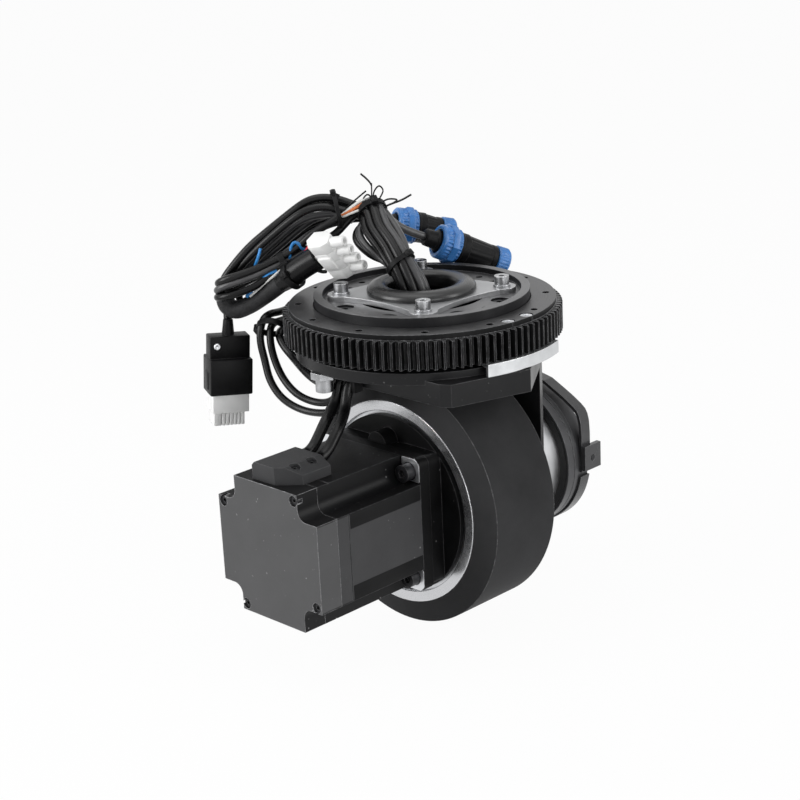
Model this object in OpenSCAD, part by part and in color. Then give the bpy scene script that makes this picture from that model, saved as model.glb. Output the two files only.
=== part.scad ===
// Steered drive wheel unit for an automated guided vehicle
// Millimetres, +Z up, wheel axle along Y, drive motor towards -Y.
// Origin: steering axis at the chassis mounting face of the gear ring.

/* [Steering ring] */
// Module of the steering gear teeth
gear_module = 1.5; // [1.49:0.005:1.52]
// Number of steering gear teeth
gear_teeth = 105; // [104:1:107]
// Face width of the steering gear teeth
gear_face = 16; // [14:0.5:18]
// Height of the mounting annulus above the teeth
annulus_rise = 3; // [2:0.5:4]
// Radius of the chassis bolt circle
chassis_bolt_r = 71; // [70:0.5:72]
// Number of chassis bolt holes
chassis_bolts = 12; // [12:12:12]
// Radius of each tapped chassis hole
chassis_hole_r = 2.1; // [1.7:0.1:2.5]
// Outer radius of the inner ring lip
lip_r = 62; // [61:0.5:63]
// Wall of the inner ring lip
lip_wall = 5; // [4:0.5:6]
// Height of the lip above the mounting face
lip_rise = 5.5; // [5:0.5:7]
// Height of the inner ring floor above the mounting face
floor_rise = 2; // [1:0.5:3]
// Ball radius of the slew bearing
slew_ball_r = 3; // [2.5:0.25:3.5]
// Number of balls in the slew bearing
slew_ball_count = 36; // [24:1:40]
// Radial gap between the two slew rings
slew_gap = 0.4; // [0.3:0.1:0.6]

/* [Cable plate] */
// Radius of the plate screw circle
plate_screw_r = 46; // [44:0.5:47]
// Radius of each plate lobe
lobe_r = 8; // [7:0.5:9]
// Plate thickness
plate_t = 3; // [2:0.5:4]
// Radius of the cable hole in the grommet
cable_hole_r = 19.5; // [18:0.5:21]
// Radial width of the grommet
grommet_w = 12; // [11:0.5:13]
// Height of the grommet above the plate
grommet_h = 9; // [8:0.5:10]

/* [Wheel] */
// Gap between the fork block and the tread
tyre_gap = 1.5; // [1:0.25:3]
// Thickness of the tyre
tyre_t = 14; // [12:0.5:15]
// Width of the tread
tread_w = 49; // [46:0.5:52]
// Overall width of the wheel hub
hub_w = 59; // [58.5:0.5:60]
// Wall of the hub rim
rim_wall = 6; // [5:0.5:7]

/* [Hub gearing] */
// Module of the hub gearing
hub_module = 1.25; // [1.24:0.005:1.25]
// Teeth of the sun gear
sun_teeth = 15; // [15:3:15]
// Teeth of each planet gear
planet_teeth = 33; // [33:3:33]
// Wall of the ring gear behind its teeth
ring_wall = 3; // [2.5:0.25:4]
// Flank relief of each gear for backlash
flank_relief = 0.06; // [0.05:0.01:0.08]
// Running clearance of bores on pins and shafts
run_gap = 0.05; // [0.03:0.01:0.08]
// Planet pin radius
pin_r = 5; // [4.5:0.25:5.5]

/* [Drive motor] */
// Side of the square motor
motor_side = 80; // [78:0.5:82]
// Distance from the wheel plane to the motor rear face
motor_rear = 127.6; // [124:0.5:132]
// Thickness of the motor flange
flange_t = 7.6; // [7:0.2:9]
// Length of the rear cover
cover_len = 15; // [13:0.5:18]
// Size of the corner notches
notch = 14.5; // [13.5:0.5:15]
// Half spacing of the flange screws
flange_screw_half = 31.8; // [31:0.2:32.4]

/* [Fork and brake] */
// Radius of the fork disc
disc_r = 74; // [72:0.5:74.5]
// Height of the fork block
block_h = 13; // [11:0.5:13]
// Thickness of the fork arm
arm_t = 8; // [7:0.5:10]
// Radius of the brake housing
brake_r = 39.4; // [37:0.5:40]
// Length of the brake housing
brake_len = 31.6; // [30:0.5:34]
// Radius of the brake end ring
brake_ring_r = 45.5; // [45:0.5:46]

/* [Hidden] */
$fn = 72;
e = 0.01;
// steering gear
gear_rp = gear_module * gear_teeth / 2;
gear_tip = gear_rp + gear_module;
gear_root = gear_rp - 1.25 * gear_module;
annulus_r = gear_root - 0.3;
ring_h = annulus_rise + gear_face;
race_z = -ring_h / 2;
race_r = lip_r + slew_gap / 2;
flag_screw_r = annulus_r - 4.1;
flag_screw_deg = 6;
flag_deg = 21;
flag_t = 2.5;
flag_drop = 7;
flag_low = -ring_h - flag_drop;
// inner ring and its screws
ring_low = -ring_h + 3;
ring_bore_r = 37;
ring_screw_r = 48;
ring_screw_turn = 21;
// fork
disc_top = -ring_h - flag_t - 0.8;
disc_low = disc_top - 6.7;
block_top = flag_low - 0.5;
block_low = block_top - block_h;
// hub radii, from the ring gear outwards
ring_teeth = sun_teeth + 2 * planet_teeth;
hub_add = 0.8 * hub_module;
hub_ded = 1.1 * hub_module;
hub_bore_r = hub_module * ring_teeth / 2 + hub_ded + ring_wall;
rim_r = hub_bore_r + rim_wall;
tyre_r = rim_r + tyre_t;
axle_drop = tyre_r + tyre_gap - block_low;
block_front = -53;
arm_y = 33;
arm_back = arm_y + arm_t;
arm_half = 59;
block_pts = [
    [-16, block_front], [62, block_front], [68, block_front + 3], [83.5, -3], [arm_half, arm_y],
    [arm_half - 5, arm_back], [-arm_half + 5, arm_back], [-arm_half, arm_y], [-83.5, -3],
    [-69, -38], [-56, -45]
];
case_screw_r = 46.5;
// hub stack along the axle
orbit_r = hub_module * (sun_teeth + planet_teeth) / 2;
brg_section = 12.5;
brg_in_r = hub_bore_r - brg_section;
brg_w = 13;
brg_front = -27;
gear_a = brg_front + brg_w;
gear_b = 8;
brg_rear_end = gear_b + brg_w;
brg_wall = 3;
hub_half = hub_w / 2;
pillar_r = 7;
pillar_orbit = 36;
case_disc_r = hub_bore_r - 2;
case_front_y = -31;
// motor
motor_half = motor_side / 2;
flange_y = -41;
flange_back = flange_y - flange_t;
cover_y = -motor_rear + cover_len;
shaft_r = 10 - run_gap;
stub_r = 5;
stub_y = -16;
mbrg_r = 16;
mbrg_w = 7;
body_bore_r = 35;
rotor_r = 23.5;
cover_screws_at = [[22.5, 36], [36, -22.5], [-22.5, -36], [-36, 22.5]];
box_screws_at = [-114, -102];
// brake
brake_y = arm_back;
seal_y = brake_y + brake_len;
cap_y = seal_y + 0.8;
cover_start = cap_y + 9.2;
cover_end = cover_start + 12;
cover_r = brake_ring_r - 0.7;
strap_in = cover_r;
strap_t = 1.8;
// cables: u to the right, d away and z up as the object faces the viewer
function face(u, d, z) = [(u - d) / sqrt(2), (u + d) / sqrt(2), z];
cam_ref = [1, -1, 0];
hank_d = 40;
hank_t = 22;
riser_r = 9;
sleeve_r = 5.5;
boot_r = 7.3;
plug_at = face(-116.6, 40, -27.3);
sensor_at = [-12.7, -67.9];
sensor_low = disc_low - 11.5;
box_end = -94;
cable_low = motor_half - axle_drop + 6.5;
cable_high = block_low + 5;
cable_mid = (cable_low + cable_high) / 2;
cable_a_route = [
    [5.8, box_end, cable_low], [5.8, -87, cable_low], [5.2, -81, cable_low + 4.5], [4, -75, cable_low + 11],
    [-1.1, -64, cable_mid + 2.5], [-2.6, -60.5, cable_mid + 8.5], [-3, -58.5, cable_high - 2.5],
    [-3, -56, cable_high], [-3, block_front, cable_high]
];
cable_b_route = [
    [-5.5, box_end, cable_low], [-5.5, -90, cable_low], [-5.6, -86, cable_low + 1.7], [-5.9, -81, cable_low + 6],
    [-6.5, -75, cable_low + 13], [-9.1, -64, cable_mid + 3.3], [-10, -60.5, cable_mid + 8.5],
    [-10.3, -58.5, cable_high - 2.5], [-10.3, -56, cable_high], [-10.3, block_front, cable_high]
];
// sensor cables: out of the fork's far left face, round behind the ring, through the tie, back in
exit_a = block_pts[8];
exit_b = block_pts[7];
exit_run = (exit_b - exit_a) / norm(exit_b - exit_a);
function exit_at(along, out, z) = [
    exit_a[0] + along * exit_run[0] - out * exit_run[1],
    exit_a[1] + along * exit_run[1] + out * exit_run[0], z
];
loop_a_route = [
    exit_at(13.3, 0, block_low + 2.6), exit_at(13.3, 8, block_low + 2.6), [-90, 3, -31], [-91.5, -12, -27],
    [-86.8, -29.5, -25.4], face(-85, 25, -25.4), face(-82.6, 20, -29.7), face(-76.6, 12, -35.4),
    face(-69, -10, -37.3), face(-63, -26, -37.6), face(-58.5, -36, -37)
];
loop_b_route = [
    exit_at(24, 0, block_low + 7.6), exit_at(24, 8, block_low + 7.6), [-89, 10, -23], [-91.8, -2, -17],
    [-91.5, -12, -14.8], [-87, -30, -14.6], face(-93.4, 25.5, -14.2), face(-96.2, 22.3, -26),
    face(-94, 20, -38.6), face(-91.6, 16, -49.8), face(-84.8, 10, -59.4), face(-74.3, 4, -64.8),
    face(-61, -6, -64.6), [-24, -46.2, -59.5], [-18.6, -46, -52.5], [-18, -46, block_low - 6],
    [-18, -46, block_low]
];
loop_c_route = [
    exit_at(13.3, 0, block_low + 7.9), exit_at(13.3, 8, block_low + 7.9), [-90, 3, -25.4],
    [-91.5, -12, -20.8], [-87, -30, -20], face(-89.6, 25.6, -19.6), face(-90, 20.5, -28),
    face(-88.4, 18, -37), face(-83.5, 12, -47.8), face(-75.4, 4, -55.5), face(-65.5, -2, -58.8),
    [-33.5, -46.4, -57], [-27, -46, -52], [-25, -46, block_low - 6], [-25, -46, block_low]
];
riser_route = [
    face(0, 0, block_low + 6.5), face(0, 0, block_low + 18), face(-2, 0, -6), face(-4.3, 0, 5),
    face(-9.3, 6, 20.2),
    face(-14.7, 14, 26.8), face(-19.5, 22, 33.4), face(-23.2, 28, 40.6), face(-25.8, 34, 47.1)
];
sleeve_route = [
    face(-118.8, 40, -1.8), face(-117.4, 39, -7.7), face(-111.7, 38, -11.4), face(-103.6, 36, -9.4),
    face(-94.1, 33, -3.6), face(-82.1, 29, 4.8), face(-77, 26.8, 8.7), face(-75.5, 26.1, 9.8),
    face(-69.9, 24, 15.2), face(-58.4, 18, 22.8)
];
sleeve_radii = [for (i = [0 : 9]) i < 7 ? sleeve_r : boot_r];
plug_up = face(0.1, 0.04, 1);
lead_route = [
    face(-116, 49.2, -1), face(-116.4, 48.8, -11), face(-116.4, 44, -18.5), plug_at + 5 * plug_up, plug_at
];
aux_a_from = face(-14.3, 88, 24.3);
aux_a_to = face(21.4, 99, 15.1);
aux_b_from = face(11.2, 64, 18.2);
aux_b_to = face(52.7, 80, -1.2);
aux_a_dir = (aux_a_to - aux_a_from) / norm(aux_a_to - aux_a_from);
aux_b_dir = (aux_b_to - aux_b_from) / norm(aux_b_to - aux_b_from);
aux_a_route = [
    face(-30, 44, 46), face(-31, 58, 43), face(-30, 72, 36),
    aux_a_from - 10 * aux_a_dir, aux_a_from + 3 * aux_a_dir
];
aux_b_route = [
    face(-28, 40, 42), face(-20, 48, 38), face(-8, 56, 28),
    aux_b_from - 10 * aux_b_dir, aux_b_from + 3 * aux_b_dir
];

// helpers
function inv_deg(rb, r) = r <= rb ? 0 : sqrt(pow(r / rb, 2) - 1) * 180 / PI - acos(rb / r);
function half_deg(n, rp, r, relief) =
    90 / n - relief / rp * 180 / PI + inv_deg(rp * cos(20), rp) - inv_deg(rp * cos(20), r);
function on_circle(r, a) = [r * cos(a), r * sin(a)];
// outline of a gear with n teeth, from radius r0 to radius r1 in k steps per flank
function gear_outline(n, rp, r0, r1, relief, k) = [
    for (i = [0 : n - 1])
        for (j = [0 : 2 * k + 1])
            let (s = j <= k ? j : 2 * k + 1 - j, r = r0 + (r1 - r0) * s / k)
            on_circle(r, 360 * i / n + (j <= k ? -1 : 1) * half_deg(n, rp, r, relief))
];
function unit(v) = v / norm(v);
function turn_at(p, i) =
    i == 0 ? unit(p[1] - p[0]) :
    i == len(p) - 1 ? unit(p[i] - p[i - 1]) : unit(unit(p[i] - p[i - 1]) + unit(p[i + 1] - p[i]));
// ring of points round route point i
function ring_at(p, i, r, m, ref) =
    let (t = turn_at(p, i), a = unit(cross(t, ref)), b = cross(t, a))
    [for (k = [0 : m - 1]) p[i] + (is_list(r) ? r[i] : r) * (cos(360 * k / m) * a + sin(360 * k / m) * b)];
// closed tube with m sides along route p, of radius r, or one radius for each point
module tube(p, r, m, ref) {
    n = len(p);
    points = [for (i = [0 : n - 1]) each ring_at(p, i, r, m, ref)];
    sides = [for (i = [0 : n - 2]) for (k = [0 : m - 1]) for (h = [0, 1])
        h == 0 ? [i * m + k, (i + 1) * m + (k + 1) % m, i * m + (k + 1) % m] :
        [i * m + k, (i + 1) * m + k, (i + 1) * m + (k + 1) % m]];
    first = [for (k = [0 : m - 1]) k];
    last = [for (k = [m - 1 : -1 : 0]) (n - 1) * m + k];
    polyhedron(points, concat([first], sides, [last]), convexity = 6);
}
module on_axle() {
    translate([0, 0, -axle_drop]) rotate([-90, 0, 0]) children();
}
module pipe(ro, ri, z0, z1) {
    difference() {
        translate([0, 0, z0]) cylinder(r = ro, h = z1 - z0);
        translate([0, 0, z0 - 1]) cylinder(r = ri, h = z1 - z0 + 2);
    }
}
module rod(r, z0, z1) {
    translate([0, 0, z0]) cylinder(r = r, h = z1 - z0);
}
// hexagon socket screw, head seat at z = 0, shank down
module socket_screw(r, len, head_r, head_h, hex_r) {
    difference() {
        union() {
            rod(r, -len, e);
            rod(head_r, 0, head_h);
        }
        translate([0, 0, head_h - hex_r]) cylinder(r = hex_r, h = hex_r + 1, $fn = 6);
    }
}
// frame that faces the viewer: x to the right, y away, z up
module facing() {
    rotate([0, 0, 45]) children();
}

// steering ring, fixed to the chassis
module slew_gear_ring() {
    color("#2c2c2e") difference() {
        union() {
            translate([0, 0, -ring_h])
                linear_extrude(gear_face)
                    polygon(gear_outline(gear_teeth, gear_rp, gear_root, gear_tip, 0.05, 3));
            rod(annulus_r, -annulus_rise - 1, 0);
        }
        rod(lip_r + slew_gap, -ring_h - 1, 1);
        translate([0, 0, race_z])
            rotate_extrude()
                translate([race_r, 0]) circle(r = slew_ball_r + 0.3);
        for (i = [0 : chassis_bolts - 1])
            rotate([0, 0, (i + 0.5) * 360 / chassis_bolts])
                translate([chassis_bolt_r, 0, 0]) rod(chassis_hole_r, -12, 1);
        for (s = [-1, 1])
            rotate([0, 0, s * flag_screw_deg])
                translate([flag_screw_r, 0, 0]) {
                    rod(2.3, -ring_h - 1, 1);
                    rod(4, -4.4, 1);
                }
        rotate_extrude() polygon([
            [gear_tip - 0.8, -annulus_rise + 0.2], [gear_tip + 1, -annulus_rise - 1.6],
            [gear_tip + 1, -annulus_rise + 0.2]
        ]);
    }
}
module home_flag() {
    color("#c9cacc") difference() {
        rotate([0, 0, -flag_deg])
            rotate_extrude(angle = 2 * flag_deg)
                polygon([
                    [flag_screw_r - 4, -ring_h - flag_t], [gear_tip - 1, -ring_h - flag_t],
                    [gear_tip - 1, flag_low], [gear_tip + 1.7, flag_low],
                    [gear_tip + 1.7, -ring_h], [flag_screw_r - 4, -ring_h]
                ]);
        for (s = [-1, 1])
            rotate([0, 0, s * flag_screw_deg])
                translate([flag_screw_r, 0, 0]) rod(2, -ring_h - flag_t - 1, 0);
    }
}
module flag_screws() {
    color("#d5d6d8")
        for (s = [-1, 1])
            rotate([0, 0, s * flag_screw_deg])
                translate([flag_screw_r, 0, -4.4]) socket_screw(2, ring_h + flag_t - 4.4, 3.5, 4, 1.5);
}

// turning side of the slew bearing
module slew_inner_ring() {
    color("#333335") difference() {
        rod(lip_r, ring_low, lip_rise);
        rod(ring_bore_r, ring_low - 1, lip_rise + 1);
        rod(lip_r - lip_wall, floor_rise, lip_rise + 1);
        translate([0, 0, race_z])
            rotate_extrude()
                translate([race_r, 0]) circle(r = slew_ball_r);
        for (q = [0 : 3]) {
            for (s = [-1, 1])
                rotate([0, 0, 90 * q + s * ring_screw_turn])
                    translate([ring_screw_r, 0, 0]) {
                        rod(3.3, ring_low - 1, lip_rise);
                        rod(5.4, floor_rise - 7, lip_rise);
                    }
            rotate([0, 0, 90 * q]) translate([ring_screw_r + 1, 0, 0]) rod(2.1, floor_rise - 9, lip_rise);
            rotate([0, 0, 45 + 90 * q]) translate([plate_screw_r, 0, 0])
                rod(2.5, floor_rise - 11, lip_rise);
        }
    }
}
module slew_balls() {
    color("#b9bcc0")
        for (i = [0 : slew_ball_count - 1])
            rotate([0, 0, 360 * i / slew_ball_count])
                translate([race_r, 0, race_z]) sphere(r = slew_ball_r);
}
module ring_screws() {
    color("#3a3a3c")
        for (q = [0 : 3])
            for (s = [-1, 1])
                rotate([0, 0, 90 * q + s * ring_screw_turn])
                    translate([ring_screw_r, 0, floor_rise - 7])
                        socket_screw(3, floor_rise - 7 - ring_low + 6, 5, 6, 2.5);
}

// cable plate and grommet
module cable_plate() {
    color("#9a9b9d") difference() {
        translate([0, 0, floor_rise])
            linear_extrude(plate_t)
                union() {
                    difference() {
                        circle(r = plate_screw_r + 4);
                        for (q = [0 : 3])
                            rotate(90 * q) translate([130, 0]) circle(r = 96.5);
                    }
                    for (q = [0 : 3])
                        rotate(45 + 90 * q) translate([plate_screw_r, 0]) circle(r = lobe_r);
                }
        rod(cable_hole_r + 5, floor_rise - 1, floor_rise + plate_t + 1);
        for (q = [0 : 3])
            rotate([0, 0, 45 + 90 * q])
                translate([plate_screw_r, 0, 0]) rod(2.8, floor_rise - 1, floor_rise + plate_t + 1);
    }
}
module plate_washers() {
    color("#c4c6c9")
        for (q = [0 : 3])
            rotate([0, 0, 45 + 90 * q])
                translate([plate_screw_r, 0, floor_rise + plate_t]) pipe(5, 2.8, 0, 1.2);
}
module plate_screws() {
    color("#cfd1d4")
        for (q = [0 : 3])
            rotate([0, 0, 45 + 90 * q])
                translate([plate_screw_r, 0, floor_rise + plate_t + 1.2])
                    socket_screw(2.5, plate_t + 10, 4.25, 5, 2);
}
module cable_grommet() {
    g0 = floor_rise + plate_t;
    hg = grommet_h / 2;
    color("#232324") rotate_extrude() {
        translate([cable_hole_r, floor_rise]) square([5, plate_t + 1]);
        translate([cable_hole_r, g0]) square([grommet_w - hg, grommet_h - hg / 2]);
        translate([cable_hole_r + hg / 2, g0]) square([grommet_w - 1.5 * hg, grommet_h]);
        translate([cable_hole_r + hg / 2, g0 + grommet_h - hg / 2]) circle(r = hg / 2);
        translate([cable_hole_r + grommet_w - hg, g0 + hg]) circle(r = hg);
    }
}

// fork
module fork_bracket() {
    color("#454648") difference() {
        union() {
            rod(lip_r - 1, disc_top - 1, ring_low);
            rod(disc_r, disc_low, disc_top);
            translate([0, 0, block_low]) linear_extrude(block_h) polygon(block_pts);
            intersection() {
                translate([0, 0, -axle_drop - arm_half])
                    linear_extrude(axle_drop + arm_half + block_top)
                        polygon([
                            [-arm_half, arm_y], [arm_half, arm_y], [arm_half - 5, arm_back],
                            [-arm_half + 5, arm_back]
                        ]);
                on_axle() union() {
                    rod(arm_half, 0, 60);
                    translate([-arm_half, -axle_drop, 0]) cube([2 * arm_half, axle_drop, 60]);
                }
            }
        }
        rod(30, block_low + 6.5, 0);
        for (q = [0 : 3])
            for (s = [-1, 1])
                rotate([0, 0, 90 * q + s * ring_screw_turn])
                    translate([ring_screw_r, 0, 0]) rod(3, ring_low - 8, ring_low + 1);
        on_axle() rod(20, arm_y - 1, arm_back + 1);
        on_axle()
            for (i = [0 : 5])
                rotate([0, 0, 30 + 60 * i]) translate([case_screw_r, 0, 0])
                    rod(3.3, arm_y - 1, arm_back + 1);
        // hole for the home sensor
        translate([sensor_at[0], sensor_at[1], 0]) rod(4, disc_low - 1, disc_top + 1);
    }
}
module home_sensor() {
    color("#b8babd") translate([sensor_at[0], sensor_at[1], 0]) {
        rod(4, sensor_low, disc_top + 0.2);
        rod(5, sensor_low, disc_low - 4);
        translate([0, 0, disc_low - 4]) cylinder(r = 7.5, h = 4, $fn = 6);
    }
}

// hub gearing and wheel
module gear_case_front() {
    color("#1d1d1f") on_axle() difference() {
        union() {
            rod(case_disc_r, case_front_y, brg_front - 0.5);
            rod(brg_in_r + 3, brg_front - 1, brg_front);
            rod(brg_in_r, brg_front - 1, gear_a);
            for (i = [0 : 2])
                rotate([0, 0, 60 + 120 * i]) translate([pillar_orbit, 0, 0])
                    rod(pillar_r, gear_a - 1, gear_b);
            translate([0, 0, flange_y])
                linear_extrude(case_front_y - flange_y + 1)
                    union() {
                        difference() {
                            square(motor_side - 2, center = true);
                            for (a = [0 : 3])
                                rotate(90 * a) translate([motor_half - 6, motor_half - 6])
                                    difference() {
                                        square(9);
                                        circle(r = 5);
                                    }
                        }
                        translate([-1, -motor_half + 1]) circle(r = 7);
                    }
        }
        rod(14, flange_y - 1, gear_a + 1);
        rod(35, flange_y - 1, flange_y + 3);
        for (i = [0 : 2])
            rotate([0, 0, 120 * i]) translate([orbit_r, 0, 0]) rod(pin_r, gear_a - 10, gear_a + 1);
        for (x = [-1, 1])
            for (y = [-1, 1])
                translate([x * flange_screw_half, y * flange_screw_half, 0])
                    rod(3, flange_y - 1, flange_y + 9);
    }
}
module gear_case_rear() {
    color("#2a2a2c") on_axle() difference() {
        union() {
            rod(brg_in_r, gear_b, brg_rear_end + 1);
            rod(hub_bore_r - 5, brg_rear_end, arm_y);
        }
        rod(7, gear_b - 1, arm_y + 1);
        for (i = [0 : 2])
            rotate([0, 0, 120 * i]) translate([orbit_r, 0, 0]) rod(pin_r, gear_b - 1, gear_b + 10);
        for (i = [0 : 5])
            rotate([0, 0, 30 + 60 * i]) translate([case_screw_r, 0, 0]) rod(3, arm_y - 9, arm_y + 1);
    }
}
module case_screws() {
    color("#4a4a4c") on_axle()
        for (i = [0 : 5])
            rotate([0, 0, 30 + 60 * i])
                translate([case_screw_r, 0, arm_back]) socket_screw(3, arm_t + 8, 5, 6, 2.5);
}
module planet_pins() {
    color("#b5b7ba") on_axle()
        for (i = [0 : 2])
            rotate([0, 0, 120 * i]) translate([orbit_r, 0, 0]) rod(pin_r, gear_a - 10, gear_b + 10);
}
module bearing_inner_rings() {
    color("#c0c2c5") on_axle() {
        pipe(brg_in_r + brg_wall, brg_in_r, brg_front, gear_a);
        pipe(brg_in_r + brg_wall, brg_in_r, gear_b, brg_rear_end);
    }
}
module bearing_outer_rings() {
    color("#b0b2b5") on_axle() {
        pipe(hub_bore_r, hub_bore_r - brg_wall, brg_front, gear_a);
        pipe(hub_bore_r, hub_bore_r - brg_wall, gear_b, brg_rear_end);
    }
}
module wheel_hub() {
    color("#c6c8cb") on_axle() difference() {
        rod(rim_r, -hub_half, hub_half);
        rod(hub_bore_r, -hub_half - 1, brg_rear_end);
        rod(hub_bore_r - 2.4, brg_rear_end - 1, hub_half + 1);
        rod(hub_bore_r + 1, brg_rear_end + 3, hub_half + 1);
    }
}
module tyre() {
    color("#1b1b1c") on_axle() rotate_extrude() polygon([
        [rim_r, -hub_half + 0.6], [rim_r + 1, -hub_half + 0.6], [tyre_r, -tread_w / 2],
        [tyre_r, tread_w / 2], [rim_r + 1, hub_half - 0.6], [rim_r, hub_half - 0.6]
    ]);
}
module ring_gear() {
    rp = hub_module * ring_teeth / 2;
    color("#8e9093") on_axle() difference() {
        rod(hub_bore_r, gear_a, gear_b);
        translate([0, 0, gear_a - 1])
            linear_extrude(gear_b - gear_a + 2)
                polygon(gear_outline(ring_teeth, rp, rp - hub_add, rp + hub_ded, -flank_relief, 4));
    }
}
module planet(i) {
    rp = hub_module * planet_teeth / 2;
    color("#9fa1a4") on_axle() rotate([0, 0, 120 * i]) translate([orbit_r, 0, 0]) difference() {
        translate([0, 0, gear_a + 1])
            linear_extrude(gear_b - gear_a - 2)
                polygon(gear_outline(planet_teeth, rp, rp - hub_ded, rp + hub_add, flank_relief, 4));
        rod(pin_r + run_gap, gear_a, gear_b);
    }
}
module planet_gear_1() {
    planet(0);
}
module planet_gear_2() {
    planet(1);
}
module planet_gear_3() {
    planet(2);
}
module sun_gear() {
    rp = hub_module * sun_teeth / 2;
    color("#a9abae") on_axle() difference() {
        translate([0, 0, gear_a + 0.5])
            linear_extrude(gear_b - gear_a - 1)
                polygon(gear_outline(sun_teeth, rp, rp - hub_ded, rp + hub_add, flank_relief, 4));
        rod(stub_r, gear_a - 1, gear_b + 1);
    }
}

// drive motor
module motor_section() {
    difference() {
        square(motor_side, center = true);
        for (a = [0 : 3])
            rotate(90 * a) translate([motor_half - notch, motor_half - notch]) difference() {
                square(notch + 1);
                difference() {
                    translate([-1, -1]) square(7);
                    translate([6, 6]) circle(r = 6);
                }
            }
    }
}
module motor_flange() {
    color("#3b3c3f") on_axle() difference() {
        union() {
            translate([0, 0, flange_back])
                linear_extrude(flange_t)
                    difference() {
                        square(motor_side, center = true);
                        for (a = [0 : 3])
                            rotate(90 * a) translate([motor_half - 5, motor_half - 5]) difference() {
                                square(6);
                                circle(r = 5);
                            }
                    }
            rod(35, flange_y - e, flange_y + 2.9);
        }
        rod(12, flange_back - 1, flange_y + 4);
        rod(mbrg_r, flange_back - 1, flange_back + mbrg_w);
        for (x = [-1, 1])
            for (y = [-1, 1])
                translate([x * flange_screw_half, y * flange_screw_half, 0])
                    rod(3.3, flange_back - 1, flange_y + 1);
    }
}
module motor_body() {
    color("#4b4c4f") on_axle() difference() {
        translate([0, 0, cover_y]) linear_extrude(flange_back - cover_y) motor_section();
        rod(body_bore_r, cover_y + mbrg_w + 3, flange_back + 1);
        rod(12, cover_y - 1, flange_back);
        rod(mbrg_r, cover_y + 3, flange_back);
        difference() {
            translate([0, 0, cover_y + 8.4]) rotate([0, 0, 45]) cube([140, 140, 0.6], center = true);
            translate([0, 0, cover_y]) linear_extrude(20) square(motor_side - 0.8, center = true);
        }
        for (q = cover_screws_at)
            translate([q[0], -q[1], 0]) rod(1.6, cover_y - 1, cover_y + 10);
    }
}
module motor_rear_cover() {
    color("#5f6063") on_axle() difference() {
        translate([0, 0, -motor_rear]) linear_extrude(cover_len) motor_section();
        rod(30, -motor_rear + 4, cover_y + 1);
        for (q = cover_screws_at)
            translate([q[0], -q[1], 0]) {
                rod(1.8, -motor_rear - 1, cover_y + 1);
                rod(3.1, -motor_rear - 1, -motor_rear + 4);
            }
    }
}
module small_screws() {
    color("#2e2e30") {
        on_axle()
            for (q = cover_screws_at)
                translate([q[0], -q[1], -motor_rear + 4])
                    rotate([180, 0, 0]) socket_screw(1.6, cover_len + 4, 2.8, 3, 1.2);
        for (y = box_screws_at)
            translate([10.5, y, -axle_drop + motor_half + 5]) socket_screw(1.6, 5, 2.8, 3, 1.2);
    }
}
module motor_stator() {
    color("#7a5a3a") on_axle() pipe(body_bore_r, rotor_r + 0.6, cover_y + 16, flange_back - 8);
}
module motor_bearings() {
    color("#b7b9bc") on_axle() {
        pipe(mbrg_r, shaft_r + run_gap, flange_back, flange_back + mbrg_w);
        pipe(mbrg_r, shaft_r + run_gap, cover_y + 3, cover_y + 3 + mbrg_w);
    }
}
module motor_rotor() {
    color("#a5a7aa") on_axle() {
        rod(shaft_r, cover_y - 4, stub_y);
        rod(rotor_r, cover_y + 18, flange_back - 10);
        rod(stub_r, stub_y - 1, brake_y + 22);
    }
}
module flange_screws() {
    color("#3c3d40") on_axle()
        for (x = [-1, 1])
            for (y = [-1, 1])
                translate([x * flange_screw_half, y * flange_screw_half, flange_back])
                    rotate([180, 0, 0]) socket_screw(3, flange_t + 8, 5, 6, 2.5);
}
module terminal_box() {
    color("#2b2b2d") translate([0, 0, -axle_drop + motor_half]) difference() {
        intersection() {
            linear_extrude(10) polygon([
                [-13, -124.5], [5, -124.5], [17, -114.5], [17, -94], [-13, -94]
            ]);
            translate([0, -90, 0]) rotate([90, 0, 0]) linear_extrude(40) polygon([
                [-13, 0], [17, 0], [17, 5.5], [9.5, 10], [-11, 10], [-13, 8]
            ]);
        }
        for (y = box_screws_at)
            translate([10.5, y, 0]) {
                rod(1.6, -1, 12);
                rod(3, 5, 12);
            }
    }
}
// brake on the far side of the fork
module brake_body() {
    color("#cdd0d3") on_axle() difference() {
        rod(brake_r, brake_y, seal_y);
        rod(20, brake_y - 1, seal_y + 1);
        rod(brake_r - 5.4, brake_y + 5, seal_y - 5);
    }
}
module brake_disc() {
    color("#8b8d90") on_axle() pipe(30, stub_r, brake_y + 12, brake_y + 19);
}
module brake_seal() {
    color("#161617") on_axle() pipe(brake_ring_r - 1.6, 20, seal_y, cap_y);
}
module brake_ring() {
    color("#5a5b5e") on_axle() difference() {
        rod(brake_ring_r, cap_y, cover_start);
        rod(30, cap_y - 1, cover_start - 3);
        pipe(brake_ring_r + 2, brake_ring_r - 0.5, cap_y + 5.4, cap_y + 6);
    }
}
module brake_cover() {
    color("#4f5053") on_axle() rotate_extrude() polygon([
        [0, cover_start], [cover_r, cover_start], [cover_r, cover_end - 2], [cover_r - 2, cover_end],
        [0, cover_end]
    ]);
}
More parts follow.
